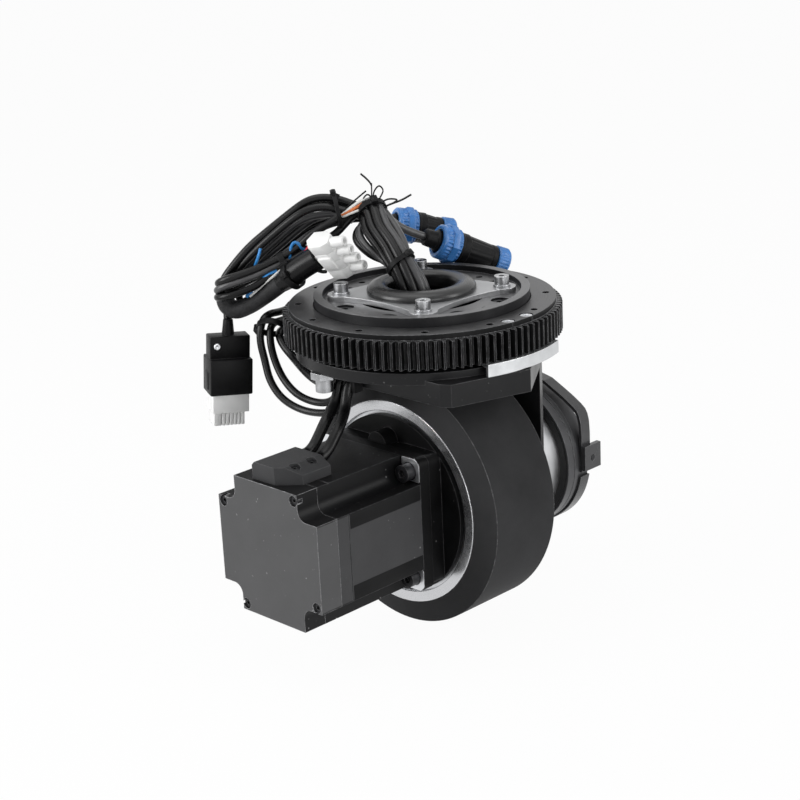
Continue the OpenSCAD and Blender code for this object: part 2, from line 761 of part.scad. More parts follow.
// strap outline, in units of its radius: round, with a flat side under the clamp
strap_pts = [
    [0, 0], [-0.26, -0.965], [0, -1.05], [0.21, -1.064], [0.38, -1.028], [0.56, -0.936], [0.72, -0.852],
    [0.863, -0.764], [0.93, -0.71], [0.965, -0.65], [0.99, -0.555], [1, -0.4], [1, 0.17]
];
module strap_shape(t) {
    union() {
        circle(r = strap_in + t);
        polygon((strap_in + t) * strap_pts);
    }
}
module brake_strap() {
    color("#6a6b6e") on_axle() difference() {
        translate([0, 0, cover_start + 2])
            linear_extrude(8)
                difference() {
                    strap_shape(strap_t);
                    strap_shape(0);
                }
        translate([strap_in - 3, 5.5, cover_start]) cube([12, 3, 12]);
    }
}
module strap_clamp() {
    color("#77787b") on_axle() translate([strap_in + strap_t, -11.5, cover_start + 1.6]) difference() {
        cube([3, 15.5, 14.8]);
        translate([-1, 8.5, 7.4]) rotate([0, 90, 0]) cylinder(r = 2, h = 6);
    }
}

// cables held by the fork
module motor_cable_a() {
    color("#1f1f20") tube(cable_a_route, 3.25, 10, [1, 0, 0]);
}
module motor_cable_b() {
    color("#232324") tube(cable_b_route, 3.25, 10, [1, 0, 0]);
}
module loop_cable_a() {
    color("#1a1a1b") tube(loop_a_route, 2.5, 8, cam_ref);
}
module loop_cable_b() {
    color("#242425") tube(loop_b_route, 2.25, 8, cam_ref);
}
module loop_cable_c() {
    color("#202021") tube(loop_c_route, 2.25, 8, cam_ref);
}
module loop_tie() {
    color("#151516") difference() {
        facing() translate([-98, 22, -28.5]) cube([14.5, 6, 17.5]);
        tube(loop_a_route, 2.5, 8, cam_ref);
        tube(loop_b_route, 2.25, 8, cam_ref);
        tube(loop_c_route, 2.25, 8, cam_ref);
    }
}
module cable_clip() {
    color("#19191a") difference() {
        translate([-15, block_front - 6.5, block_low - 2]) cube([17.5, 6.5, 9]);
        tube(cable_a_route, 3.25, 10, [1, 0, 0]);
        tube(cable_b_route, 3.25, 10, [1, 0, 0]);
    }
}

// free cables above the ring
module riser_bundle() {
    color("#1c1c1d") tube(riser_route, riser_r, 12, [1, -1, 0.6]);
}
module riser_tie() {
    color("#141415") difference() {
        translate(face(-9.5, 6.2, 20.8)) facing() rotate([-20.5, -18, 0]) union() {
            rod(riser_r + 1.3, -2, 2);
            translate([2, -riser_r - 4, -3]) cube([6, 5, 6]);
        }
        tube(riser_route, riser_r, 12, [1, -1, 0.6]);
    }
}
module cable_hank() {
    color("#262627") facing() translate([0, hank_d, 0]) rotate([90, 0, 0])
        linear_extrude(hank_t, center = true)
            polygon([
                [-26, 47], [-40, 51], [-57, 54.4], [-65, 53], [-83, 40], [-103, 23], [-121, 7], [-122, 0],
                [-116, -3], [-103, 2], [-80, 15.5], [-60, 31.5], [-36, 37], [-26.7, 42]
            ]);
}
module connector_sleeve() {
    color("#1e1e1f") tube(sleeve_route, sleeve_radii, 12, cam_ref);
}
module white_connector() {
    color("#e9e9e6") translate(sleeve_route[9]) facing() rotate([40, -10, -33]) {
        translate([0, -6, -17]) cube([3, 12, 34]);
        translate([3 - e, -5.5, -16.5]) cube([14, 11, 33]);
        for (i = [0 : 3])
            translate([17 - 2 * e, 0, -10.95 + 7.3 * i]) rotate([0, 90, 0]) pipe(3, 1.6, 0, 9);
        translate([5, 5, -5]) cube([10, 2.5, 10]);
    }
}
module plug_lead() {
    color("#18181a") tube(lead_route, 3.2, 10, cam_ref);
}
// frame of the plug: z along its axis, away from the mating end
module at_plug() {
    translate(plug_at) facing() rotate([0, 4.4, 19]) children();
}
module plug_housing() {
    color("#151516") at_plug() difference() {
        union() {
            translate([-12.3, -5.5, -14.7]) cube([24.6, 11, 14.7]);
            translate([-13, -9.5, -35.7]) cube([26, 19, 22]);
        }
        translate([-11.25, -8, -40]) cube([22.5, 16, 10]);
        translate([-8, -10, -6]) rotate([-90, 0, 0]) cylinder(r = 1.6, h = 8);
    }
}
module plug_insert() {
    color("#f0f0ee") at_plug() difference() {
        union() {
            translate([-11.25, -8, -47]) cube([22.5, 16, 17]);
            translate([-10.5, -7, -55]) cube([19, 13, 9]);
        }
        for (i = [0 : 3])
            translate([-8.6 + 4.6 * i, -4, -56]) cube([2.4, 7, 8]);
    }
}
module aux_lead_a() {
    color("#202022") tube(aux_a_route, 3, 8, [1, -1, 0.3]);
}
module aux_lead_b() {
    color("#202022") tube(aux_b_route, 3, 8, [1, -1, 0.3]);
}
// circular cable connectors: union nut, tapered body, small nut
module aux_at(p, q) {
    v = q - p;
    translate(p) rotate([0, acos(v[2] / norm(v)), atan2(v[1], v[0])]) children();
}
module aux_nut() {
    difference() {
        union() {
            cylinder(r = 10.6, h = 13);
            translate([0, 0, 6]) cylinder(r = 11.8, h = 5, $fn = 8);
        }
        translate([0, 0, -1]) cylinder(r = 7.5, h = 4);
    }
    translate([0, 0, 31]) cylinder(r = 8.6, h = 8);
}
module aux_nuts() {
    color("#3f7fc9") {
        aux_at(aux_a_from, aux_a_to) aux_nut();
        aux_at(aux_b_from, aux_b_to) aux_nut();
    }
}
module aux_bodies() {
    color("#202022") {
        aux_at(aux_a_from, aux_a_to) translate([0, 0, 13]) cylinder(r1 = 9.6, r2 = 7.2, h = 18);
        aux_at(aux_b_from, aux_b_to) translate([0, 0, 13]) cylinder(r1 = 9.6, r2 = 7.2, h = 18);
    }
}

slew_gear_ring();
home_flag();
flag_screws();
slew_inner_ring();
slew_balls();
ring_screws();
cable_plate();
plate_screws();
plate_washers();
cable_grommet();
fork_bracket();
gear_case_front();
gear_case_rear();
case_screws();
planet_pins();
bearing_inner_rings();
motor_flange();
motor_body();
motor_rear_cover();
motor_stator();
motor_bearings();
terminal_box();
small_screws();
flange_screws();
brake_body();
brake_seal();
brake_ring();
brake_cover();
brake_strap();
strap_clamp();
home_sensor();
wheel_hub();
tyre();
ring_gear();
bearing_outer_rings();
motor_rotor();
sun_gear();
brake_disc();
planet_gear_1();
planet_gear_2();
planet_gear_3();
motor_cable_a();
motor_cable_b();
loop_cable_a();
loop_cable_b();
loop_cable_c();
loop_tie();
cable_clip();
riser_bundle();
riser_tie();
cable_hank();
connector_sleeve();
white_connector();
plug_lead();
plug_housing();
plug_insert();
aux_lead_a();
aux_lead_b();
aux_nuts();
aux_bodies();
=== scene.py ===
import math

import bmesh
import bpy
from mathutils import Matrix, Vector


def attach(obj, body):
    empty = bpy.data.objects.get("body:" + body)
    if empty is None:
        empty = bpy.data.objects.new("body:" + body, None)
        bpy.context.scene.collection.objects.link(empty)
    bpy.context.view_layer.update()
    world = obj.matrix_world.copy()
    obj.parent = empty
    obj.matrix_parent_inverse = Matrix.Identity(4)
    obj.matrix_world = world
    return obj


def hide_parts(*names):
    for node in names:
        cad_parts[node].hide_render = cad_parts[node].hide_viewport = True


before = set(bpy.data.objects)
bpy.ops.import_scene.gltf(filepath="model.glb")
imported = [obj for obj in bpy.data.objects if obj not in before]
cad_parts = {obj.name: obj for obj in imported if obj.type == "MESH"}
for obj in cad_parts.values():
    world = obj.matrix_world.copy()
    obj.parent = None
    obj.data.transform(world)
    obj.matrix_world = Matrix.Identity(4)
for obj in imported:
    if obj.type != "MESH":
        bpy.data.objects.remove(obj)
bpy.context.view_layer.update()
scene = bpy.context.scene
MM = 0.001
ROOT2 = math.sqrt(2)
AXLE_MM = -116  # height of the wheel's axle
AXLE_Z = AXLE_MM * MM
FLOOR_Z = -0.191  # lowest point of the tyre
RIGHT = Vector((1, 1, 0)).normalized()  # the viewer's right
AWAY = Vector((-1, 1, 0)).normalized()  # away from the viewer


def at(x, y, z):
    return Vector((x, y, z)) * MM


def face(u, d, z):
    """Point in mm: u to the right and d away from the viewer, z up."""
    return at((u - d) / ROOT2, (u + d) / ROOT2, z)


def places(*pts):
    return [at(*p) for p in pts]


def faces(*pts):
    return [face(*p) for p in pts]


# ---- camera, fitted to the photograph ----
CAMERA_TURN = (45.344, 18.093, 2.798)  # azimuth, elevation and roll in degrees
CAMERA_PLACE = (0.710979, -0.724134, 0.270733)
CAMERA_LENS = 82.33


def make_camera():
    az, el, roll = (math.radians(a) for a in CAMERA_TURN)
    right = Vector((math.cos(az), math.sin(az), 0))
    back = Vector((math.sin(az) * math.cos(el), -math.cos(az) * math.cos(el), math.sin(el)))
    up = back.cross(right)
    x_axis = right * math.cos(roll) - up * math.sin(roll)
    y_axis = right * math.sin(roll) + up * math.cos(roll)
    data = bpy.data.cameras.new("camera")
    data.sensor_fit = "HORIZONTAL"
    data.sensor_width = 36
    data.lens = CAMERA_LENS
    data.clip_start = 0.01
    cam = bpy.data.objects.new("camera", data)
    turn = Matrix((x_axis, y_axis, back)).transposed().to_4x4()
    cam.matrix_world = Matrix.Translation(CAMERA_PLACE) @ turn
    scene.collection.objects.link(cam)
    scene.camera = cam


make_camera()
scene.view_settings.view_transform = "Standard"


# ---- materials ----
CLOUD = (0.3, 0.72)  # noise at the darkest and the lightest tone
LOOKS_UP = (0.8, 0.95)  # upward part of the normal from which a face counts as a top, where light or shade is painted
LOOKS_BACK = (-0.7, -0.5)  # y of the normal on the motor's end, and beside it
NOTCH = (0.0244, 0.0251)  # distance from the motor's axis at which its sunk corners start, and painted shade with them
# metal given to upward faces so that they reflect more, part of the painted top light
TOP_METAL = 0.9
EDGE = (0.995, 0.86)  # match of the rounded normal with the true one, off an edge and on it
CHIP = (0.5, 0.5, 0.5)  # colour of small light chips
CHIP_NOISE, CHIPPED = (420, 1, 0.4), (0.76, 0.8)  # scale, detail and roughness; where it shows
# noise and span that break up the lighter edges, which are partly rubbed and partly painted edge highlight
EDGE_TINT_NOISE, EDGE_TINTED = (220, 6, 0.75), (0.38, 0.62)
GLOSS_CHANGE = 0.09
BUMP_DEPTH = 0.0004
MARK_SCALE = 2600  # of lathe marks


class Nodes:
    """Small helper to write a node tree."""

    def __init__(self, name):
        self.mat = bpy.data.materials.new(name)
        self.mat.use_nodes = True
        self.tree = self.mat.node_tree
        self.bsdf = self.tree.nodes["Principled BSDF"]
        self.coords = self.add("ShaderNodeTexCoord").outputs["Object"]

    def add(self, kind, **props):
        node = self.tree.nodes.new(kind)
        for key, value in props.items():
            setattr(node, key, value)
        return node

    def link(self, a, b):
        self.tree.links.new(a, b)

    def noise(self, scale, detail=5, rough=0.6, coords=None):
        node = self.add("ShaderNodeTexNoise")
        node.inputs["Scale"].default_value = scale
        node.inputs["Detail"].default_value = detail
        node.inputs["Roughness"].default_value = rough
        self.link(coords or self.coords, node.inputs["Vector"])
        return node.outputs["Fac"]

    def ramp(self, fac, stops):
        """Colour that goes between two stops."""
        node = self.add("ShaderNodeValToRGB")
        for el, (pos, col) in zip(node.color_ramp.elements, stops):
            el.position = pos
            el.color = (*col, 1)
        self.link(fac, node.inputs["Fac"])
        return node.outputs["Color"]

    def span(self, value, a, b, c, d):
        node = self.add("ShaderNodeMapRange")
        for key, num in zip(("From Min", "From Max", "To Min", "To Max"), (a, b, c, d)):
            node.inputs[key].default_value = num
        self.link(value, node.inputs["Value"])
        return node.outputs["Result"]

    def math(self, op, a, b):
        node = self.add("ShaderNodeMath", operation=op)
        for sock, val in zip(node.inputs, (a, b)):
            if isinstance(val, (int, float)):
                sock.default_value = val
            else:
                self.link(val, sock)
        return node.outputs["Value"]

    def vector(self, op, a, b):
        node = self.add("ShaderNodeVectorMath", operation=op)
        for sock, val in zip(node.inputs, (a, b)):
            if isinstance(val, (tuple, list)):
                sock.default_value = val
            elif val is not None:
                self.link(val, sock)
        return node

    def mix(self, fac, a, b):
        node = self.add("ShaderNodeMix", data_type="RGBA")
        self.link(fac, node.inputs["Factor"])
        for sock, val in zip(node.inputs[6:8], (a, b)):  # the colour sockets
            if isinstance(val, tuple):
                sock.default_value = (*val, 1)
            else:
                self.link(val, sock)
        return node.outputs[2]

    def axes(self, output):
        """x, y and z of one of the texture coordinates."""
        node = self.add("ShaderNodeSeparateXYZ")
        self.link(self.add("ShaderNodeTexCoord").outputs[output], node.inputs[0])
        return node.outputs

    def clouded(self, cloud, col, vary):
        """Colour that goes from darker to lighter with the noise."""
        return self.ramp(cloud, [(CLOUD[0], shade(col, 1 - vary)), (CLOUD[1], shade(col, 1 + vary))])

    def lathe_marks(self, axis):
        """Fine rings about the wheel's axle ("y") or the steering axis ("z")."""
        centre, flat = ((0, 0, AXLE_Z), (1, 0, 1)) if axis == "y" else ((0, 0, 0), (1, 1, 0))
        moved = self.vector("SUBTRACT", self.coords, centre).outputs["Vector"]
        spread = self.vector("MULTIPLY", moved, flat).outputs["Vector"]
        node = self.add("ShaderNodeTexNoise", noise_dimensions="1D")
        node.inputs["Scale"].default_value = MARK_SCALE
        self.link(self.vector("LENGTH", spread, None).outputs["Value"], node.inputs["W"])
        return node.outputs["Fac"]

    def edges(self, radius):
        """Mask that is 1 along the edges, and the rounded normal."""
        bevel = self.add("ShaderNodeBevel", samples=6)
        bevel.inputs["Radius"].default_value = radius
        geo = self.add("ShaderNodeNewGeometry")
        dot = self.vector("DOT_PRODUCT", bevel.outputs["Normal"], geo.outputs["Normal"])
        return self.span(dot.outputs["Value"], *EDGE, 0, 1), bevel.outputs["Normal"]


def shade(col, k):
    return tuple(min(1.0, c * k) for c in col)


def material(name, col, rough, metal=0.0, spec=0.5, vary=0.2, scale=60, fine=1500, bump=0.12,
             round_to=0.0, edge_wear_and_highlight=None, edge_wear_and_highlight_amount=0.6, rings=None, stretch=None, top=None, sunk_and_top_shade=None,
             specks=0.0):
    """Procedural material: cloudy colour, uneven gloss, fine bump, rounded edges that can be lighter, partly
    rubbed and partly a painted edge highlight.
    rings is the axis ("y" or "z") that lathe marks run about, stretch a brushed direction,
    top the colour of faces that look up, a painted top light; the colour after it is painted shade on the
    motor's sunk corners and top, specks the strength of small light chips."""
    n = Nodes(name)
    b = n.bsdf
    b.inputs["Metallic"].default_value = metal
    b.inputs["Specular IOR Level"].default_value = spec
    cloud = n.noise(scale, 6)
    colour = n.clouded(cloud, col, vary)
    # painted top light: faces that look up take the lighter top colour and more metal
    if top:
        level = n.span(n.axes("Normal")["Z"], *LOOKS_UP, 0, 1)
        colour = n.mix(level, colour, n.clouded(cloud, top, vary))
        n.link(n.math("MAXIMUM", n.math("MULTIPLY", level, TOP_METAL), metal), b.inputs["Metallic"])
    # painted shade: the motor's sunk corners beside its end and its upward faces take the darker colour
    if sunk_and_top_shade:
        place, way = n.axes("Object"), n.axes("Normal")
        height = n.math("SUBTRACT", place["Z"], AXLE_Z)
        across = n.span(n.math("ABSOLUTE", place["X"], 0), *NOTCH, 0, 1)
        upward = n.span(n.math("ABSOLUTE", height, 0), *NOTCH, 0, 1)
        beside = n.span(way["Y"], *LOOKS_BACK, 0, 1)
        sunk = n.math("MULTIPLY", n.math("MULTIPLY", across, upward), beside)
        dark = n.math("MAXIMUM", sunk, n.span(way["Z"], *LOOKS_UP, 0, 1))
        colour = n.mix(dark, colour, sunk_and_top_shade)
    if specks:
        dots = n.span(n.noise(*CHIP_NOISE), *CHIPPED, 0, specks)
        colour = n.mix(dots, colour, CHIP)
    coords = n.vector("MULTIPLY", n.coords, stretch).outputs["Vector"] if stretch else n.coords
    grain = n.lathe_marks(rings) if rings else n.noise(fine, 3, 0.55, coords)
    uneven = n.math("ADD", n.math("MULTIPLY", cloud, 0.6), n.math("MULTIPLY", grain, 0.4))
    gloss = n.span(uneven, 0.3, 0.7, max(0.03, rough - GLOSS_CHANGE), rough + GLOSS_CHANGE)
    n.link(gloss, b.inputs["Roughness"])
    normal = None
    if round_to:
        mask, normal = n.edges(round_to)
        # lighter edges: partly rubbed, partly painted edge highlight
        if edge_wear_and_highlight:
            patchy = n.span(n.noise(*EDGE_TINT_NOISE), *EDGE_TINTED, 0.15, 1)
            amount = n.math("MULTIPLY", n.math("MULTIPLY", mask, patchy), edge_wear_and_highlight_amount)
            colour = n.mix(amount, colour, edge_wear_and_highlight)
    n.link(colour, b.inputs["Base Color"])
    relief = n.add("ShaderNodeBump")
    relief.inputs["Strength"].default_value = bump
    relief.inputs["Distance"].default_value = BUMP_DEPTH
    n.link(grain, relief.inputs["Height"])
    if normal:
        n.link(normal, relief.inputs["Normal"])
    n.link(relief.outputs["Normal"], b.inputs["Normal"])
    return n.mat


# name, colour, roughness, metallic, specular level, change of tone, scale of the clouds
# edge colours given below are partly rubbed metal or rubber and partly painted edge highlight
M = {
    # gear and inner ring: their top colour is painted top light on upward faces
    "gear": material("gear_black", (0.004, 0.004, 0.0043), 0.4, 0, 0.12, 0.3, 45, round_to=0.0005,
                     edge_wear_and_highlight=(0.3, 0.3, 0.31), edge_wear_and_highlight_amount=0.9, bump=0.1, rings="z", top=(0.09, 0.09, 0.092)),
    "inner": material("inner_ring_black", (0.012, 0.012, 0.013), 0.4, 0, 0.18, 0.25, 40, round_to=0.0007,
                      edge_wear_and_highlight=(0.3, 0.3, 0.31), rings="z", bump=0.1, top=(0.15, 0.15, 0.153)),
    "dark_screw": material("dark_screw", (0.02, 0.02, 0.022), 0.36, 0.5, 0.35, 0.3, 200, round_to=0.0004,
                           edge_wear_and_highlight=(0.22, 0.22, 0.22)),
    "bright": material("bright_steel", (0.7, 0.71, 0.73), 0.36, 1.0, 0.5, 0.1, 150, round_to=0.0004,
                       edge_wear_and_highlight=(0.85, 0.85, 0.87), bump=0.02),
    "gears": material("cut_steel", (0.4, 0.41, 0.43), 0.32, 1.0, 0.5, 0.15, 120, bump=0.08),
    "flag": material("flag_steel", (0.6, 0.61, 0.62), 0.36, 1.0, 0.5, 0.1, 90, round_to=0.0004,
                     edge_wear_and_highlight=(0.8, 0.8, 0.82), stretch=(1, 1, 12), bump=0.06),
    "screw": material("screw_steel", (0.36, 0.365, 0.375), 0.3, 1.0, 0.5, 0.2, 150, round_to=0.0004,
                      edge_wear_and_highlight=(0.8, 0.8, 0.82), edge_wear_and_highlight_amount=0.9, bump=0.03),
    "plate": material("plate_grey", (0.4, 0.404, 0.412), 0.42, 0.9, 0.5, 0.1, 70, fine=2200,
                      round_to=0.0005, edge_wear_and_highlight=(0.75, 0.75, 0.76), bump=0.12),
    "fork": material("fork_black", (0.009, 0.009, 0.0097), 0.34, 0.1, 0.22, 0.2, 30, fine=2400,
                     round_to=0.0008, edge_wear_and_highlight=(0.16, 0.16, 0.165), bump=0.1, specks=0.2),
    "case": material("case_black", (0.004, 0.004, 0.0042), 0.42, 0.0, 0.1, 0.25, 60, round_to=0.0006,
                     edge_wear_and_highlight=(0.12, 0.12, 0.125), bump=0.08, specks=0.2),
    "silver": material("turned_aluminium", (0.58, 0.585, 0.6), 0.27, 1.0, 0.5, 0.04, 60, round_to=0.0007,
                       edge_wear_and_highlight=(0.9, 0.9, 0.92), edge_wear_and_highlight_amount=0.95, rings="y", bump=0.04),
    "dull_silver": material("dull_aluminium", (0.5, 0.505, 0.515), 0.36, 1.0, 0.5, 0.05, 60, round_to=0.0005,
                            edge_wear_and_highlight=(0.7, 0.7, 0.72), rings="y", bump=0.05),
    # motor body and rear cover: the darker colour for the sunk corners and the top is painted shade
    "motor": material("motor_grey", (0.043, 0.043, 0.0445), 0.4, 0.1, 0.18, 0.12, 35, fine=2600,
                      round_to=0.0006, edge_wear_and_highlight=(0.16, 0.16, 0.165), bump=0.12, stretch=(1, 0.15, 1),
                      sunk_and_top_shade=(0.005, 0.005, 0.0054), specks=0.3),
    "strip": material("motor_strip", (0.008, 0.008, 0.0083), 0.5, 0.0, 0.1, 0.2, 60, bump=0.1),
    "cover": material("motor_cover", (0.075, 0.075, 0.0765), 0.44, 0.1, 0.18, 0.08, 40, fine=3000,
                      round_to=0.0006, edge_wear_and_highlight=(0.6, 0.6, 0.61), edge_wear_and_highlight_amount=0.8, bump=0.1,
                      sunk_and_top_shade=(0.006, 0.006, 0.0064), specks=0.35),
    "brake": material("brake_grey", (0.06, 0.06, 0.063), 0.36, 0.3, 0.4, 0.15, 50, round_to=0.0006,
                      edge_wear_and_highlight=(0.3, 0.3, 0.31), rings="y", bump=0.06),
    "strap": material("strap_steel", (0.05, 0.05, 0.052), 0.24, 0.3, 0.5, 0.15, 70, round_to=0.0006,
                      edge_wear_and_highlight=(0.3, 0.3, 0.31), bump=0.05),
    "winding": material("winding", (0.28, 0.13, 0.05), 0.4, 0.7, 0.5, 0.3, 300, fine=900, bump=0.5),
    "rubber": material("black_rubber", (0.012, 0.012, 0.0125), 0.42, 0.0, 0.3, 0.3, 80, fine=3000, bump=0.12),
    "grommet": material("grommet_rubber", (0.01, 0.01, 0.0105), 0.3, 0.0, 0.45, 0.3, 70,
                        rings="z", bump=0.1),
    "tread": material("tread", (0.034, 0.034, 0.035), 0.55, 0.0, 0.04, 0.2, 26, fine=1800, round_to=0.0009,
                      edge_wear_and_highlight=(0.3, 0.3, 0.305), edge_wear_and_highlight_amount=0.75, bump=0.12),
    "jacket": material("cable_jacket", (0.004, 0.004, 0.0043), 0.27, 0.0, 0.2, 0.3, 120, fine=2600, bump=0.1),
    "jacket_b": material("cable_jacket_grey", (0.006, 0.006, 0.0064), 0.28, 0.0, 0.26, 0.3, 120,
                         fine=2600, bump=0.1),
    # paler copy of the black jacket: painted highlight on the strands that catch the light
    "jacket_lit": material("cable_jacket_painted_highlight", (0.05, 0.05, 0.052), 0.34, 0.0, 0.45, 0.3, 120,
                         fine=2600, bump=0.1),
    "sleeve": material("woven_sleeve", (0.016, 0.016, 0.017), 0.6, 0.0, 0.25, 0.6, 260, fine=900,
                       bump=0.8, specks=0.3),
    "plastic": material("black_plastic", (0.006, 0.006, 0.0064), 0.42, 0.0, 0.12, 0.25, 90, fine=3200,
                        round_to=0.0006, edge_wear_and_highlight=(0.06, 0.06, 0.062), bump=0.2),
    "box": material("box_plastic", (0.042, 0.042, 0.0435), 0.46, 0.0, 0.14, 0.12, 90, fine=3200,
                    round_to=0.0006, edge_wear_and_highlight=(0.2, 0.2, 0.205), bump=0.15),
    "white": material("white_plastic", (0.84, 0.84, 0.83), 0.33, 0.0, 0.5, 0.03, 120, fine=1600,
                      round_to=0.0005, bump=0.05),
    "blue": material("blue_plastic", (0.04, 0.19, 0.52), 0.28, 0.0, 0.5, 0.15, 150, fine=2000,
                     round_to=0.0006, edge_wear_and_highlight=(0.2, 0.42, 0.75), bump=0.1),
    "wire_blue": material("wire_blue", (0.02, 0.2, 0.52), 0.4, vary=0.15, scale=300),
    "wire_white": material("wire_white", (0.7, 0.7, 0.68), 0.42, vary=0.08, scale=300),
    "wire_orange": material("wire_orange", (0.62, 0.17, 0.05), 0.4, vary=0.15, scale=300),
    "wire_red": material("wire_red", (0.55, 0.02, 0.03), 0.4, vary=0.15, scale=300),
    "wire_yellow": material("wire_yellow", (0.7, 0.5, 0.05), 0.4, vary=0.15, scale=300),
}


# ---- geometry helpers ----
def finish_piece(obj, body, replaced):
    scene.collection.objects.link(obj)
    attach(obj, body)
    if replaced:
        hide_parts(*replaced)
    return obj


def mesh_piece(name, bm, mat, replaced=(), body="fork", sharp=35):
    bmesh.ops.recalc_face_normals(bm, faces=bm.faces[:])
    me = bpy.data.meshes.new(name)
    bm.to_mesh(me)
    bm.free()
    for m in mat if isinstance(mat, list) else [mat]:
        me.materials.append(m)
    me.polygons.foreach_set("use_smooth", [True] * len(me.polygons))
    me.set_sharp_from_angle(angle=math.radians(sharp))
    return finish_piece(bpy.data.objects.new(name, me), body, replaced)


def merge(bm, part, m, index=0):
    """Adds part, which is in mm, to bm through matrix m."""
    part.transform(m)
    for f in part.faces:
        f.material_index = index
    me = bpy.data.meshes.new("part")
    part.to_mesh(me)
    part.free()
    bm.from_mesh(me)
    bpy.data.meshes.remove(me)


def block(lo, hi, bevel=0.4, segments=2):
    b = bmesh.new()
    bmesh.ops.create_cube(b, size=1)
    for v in b.verts:
        v.co = Vector([l + (c + 0.5) * (h - l) for c, l, h in zip(v.co, lo, hi)])
    if bevel:
        bmesh.ops.bevel(b, geom=b.edges[:], offset=bevel, segments=segments, affect="EDGES", profile=0.5)
    return b


def lathe(profile, count=48, ridges=0):
    """Turned solid about z. A profile point is (r, z) or (r, z, ridge depth)."""
    b = bmesh.new()
    rings = []
    for p in profile:
        depth = p[2] if len(p) > 2 else 0
        ring = []
        for k in range(count):
            a = 2 * math.pi * k / count
            r = p[0] - depth * (0.5 - 0.5 * math.cos(ridges * a))
            ring.append(b.verts.new((r * math.cos(a), r * math.sin(a), p[1])))
        rings.append(ring)
    for r0, r1 in zip(rings, rings[1:]):
        for k in range(count):
            j = (k + 1) % count
            b.faces.new((r0[k], r0[j], r1[j], r1[k]))
    b.faces.new(list(reversed(rings[0])))
    b.faces.new(rings[-1])
    return b


def turned_ring(profile, count=96):
    """Turned ring about z, from a closed outline of (r, z)."""
    b = bmesh.new()
    rings = []
    for k in range(count):
        a = 2 * math.pi * k / count
        rings.append([b.verts.new((r * math.cos(a), r * math.sin(a), z)) for r, z in profile])
    for k in range(count):
        r0, r1 = rings[k], rings[(k + 1) % count]
        for i in range(len(profile)):
            j = (i + 1) % len(profile)
            b.faces.new((r0[i], r1[i], r1[j], r0[j]))
    return b


def side_frames(points):
    """Tangent and two side vectors at each point, without twist."""
    out = []
    side = None
    last = len(points) - 1
    for i in range(len(points)):
        t = (points[min(i + 1, last)] - points[max(i - 1, 0)]).normalized()
        if side is None:
            side = t.cross(Vector((0, 0, 1)) if abs(t.z) < 0.9 else Vector((1, 0, 0)))
        side = (side - t * side.dot(t)).normalized()
        out.append((t, side, t.cross(side)))
    return out


def sweep(points, radii, count=14):
    """Closed tube along points; radii is one number or one for each point."""
    b = bmesh.new()
    rings = []
    for i, (p, (_, e1, e2)) in enumerate(zip(points, side_frames(points))):
        r = radii[i] if isinstance(radii, list) else radii
        angles = [2 * math.pi * k / count for k in range(count)]
        rings.append([b.verts.new(p + e1 * (r * math.cos(a)) + e2 * (r * math.sin(a))) for a in angles])
    for r0, r1 in zip(rings, rings[1:]):
        for k in range(count):
            j = (k + 1) % count
            b.faces.new((r0[k], r0[j], r1[j], r1[k]))
    b.faces.new(list(reversed(rings[0])))
    b.faces.new(rings[-1])
    return b


def ribbon(points, width, thick, across):
    """Flat strip along points, its width along the vector across."""
    b = bmesh.new()
    rings = []
    for p, (t, _, _) in zip(points, side_frames(points)):
        w = (across - t * across.dot(t)).normalized()
        n = t.cross(w)
        corners = ((-1, -1), (1, -1), (1, 1), (-1, 1))
        rings.append([b.verts.new(p + w * (a * width / 2) + n * (c * thick / 2)) for a, c in corners])
    for r0, r1 in zip(rings, rings[1:]):
        for k in range(4):
            j = (k + 1) % 4
            b.faces.new((r0[k], r0[j], r1[j], r1[k]))
    b.faces.new(list(reversed(rings[0])))
    b.faces.new(rings[-1])
    return b


SPAN_STEPS = 24  # steps between two points of a spline


def spline(points, count):
    """count points along a smooth curve through points, evenly spaced."""
    ext = [points[0] * 2 - points[1]] + list(points) + [points[-1] * 2 - points[-2]]
    dense = []
    for p0, p1, p2, p3 in zip(ext, ext[1:], ext[2:], ext[3:]):
        t1 = max((p1 - p0).length, 1e-6) ** 0.5
        t2 = t1 + max((p2 - p1).length, 1e-6) ** 0.5
        t3 = t2 + max((p3 - p2).length, 1e-6) ** 0.5
        for k in range(SPAN_STEPS):
            t = t1 + (t2 - t1) * k / SPAN_STEPS
            a1 = p0 * ((t1 - t) / t1) + p1 * (t / t1)
            a2 = p1 * ((t2 - t) / (t2 - t1)) + p2 * ((t - t1) / (t2 - t1))
            a3 = p2 * ((t3 - t) / (t3 - t2)) + p3 * ((t - t2) / (t3 - t2))
            b1 = a1 * ((t2 - t) / t2) + a2 * (t / t2)
            b2 = a2 * ((t3 - t) / (t3 - t1)) + a3 * ((t - t1) / (t3 - t1))
            dense.append(b1 * ((t2 - t) / (t2 - t1)) + b2 * ((t - t1) / (t2 - t1)))
    dense.append(points[-1].copy())
    walk = [0.0]
    for a, c in zip(dense, dense[1:]):
        walk.append(walk[-1] + (c - a).length)
    out = []
    i = 0
    for k in range(count):
        want = walk[-1] * k / (count - 1)
        while i < len(walk) - 2 and walk[i + 1] < want:
            i += 1
        step = max(walk[i + 1] - walk[i], 1e-9)
        out.append(dense[i].lerp(dense[i + 1], (want - walk[i]) / step))
    return out


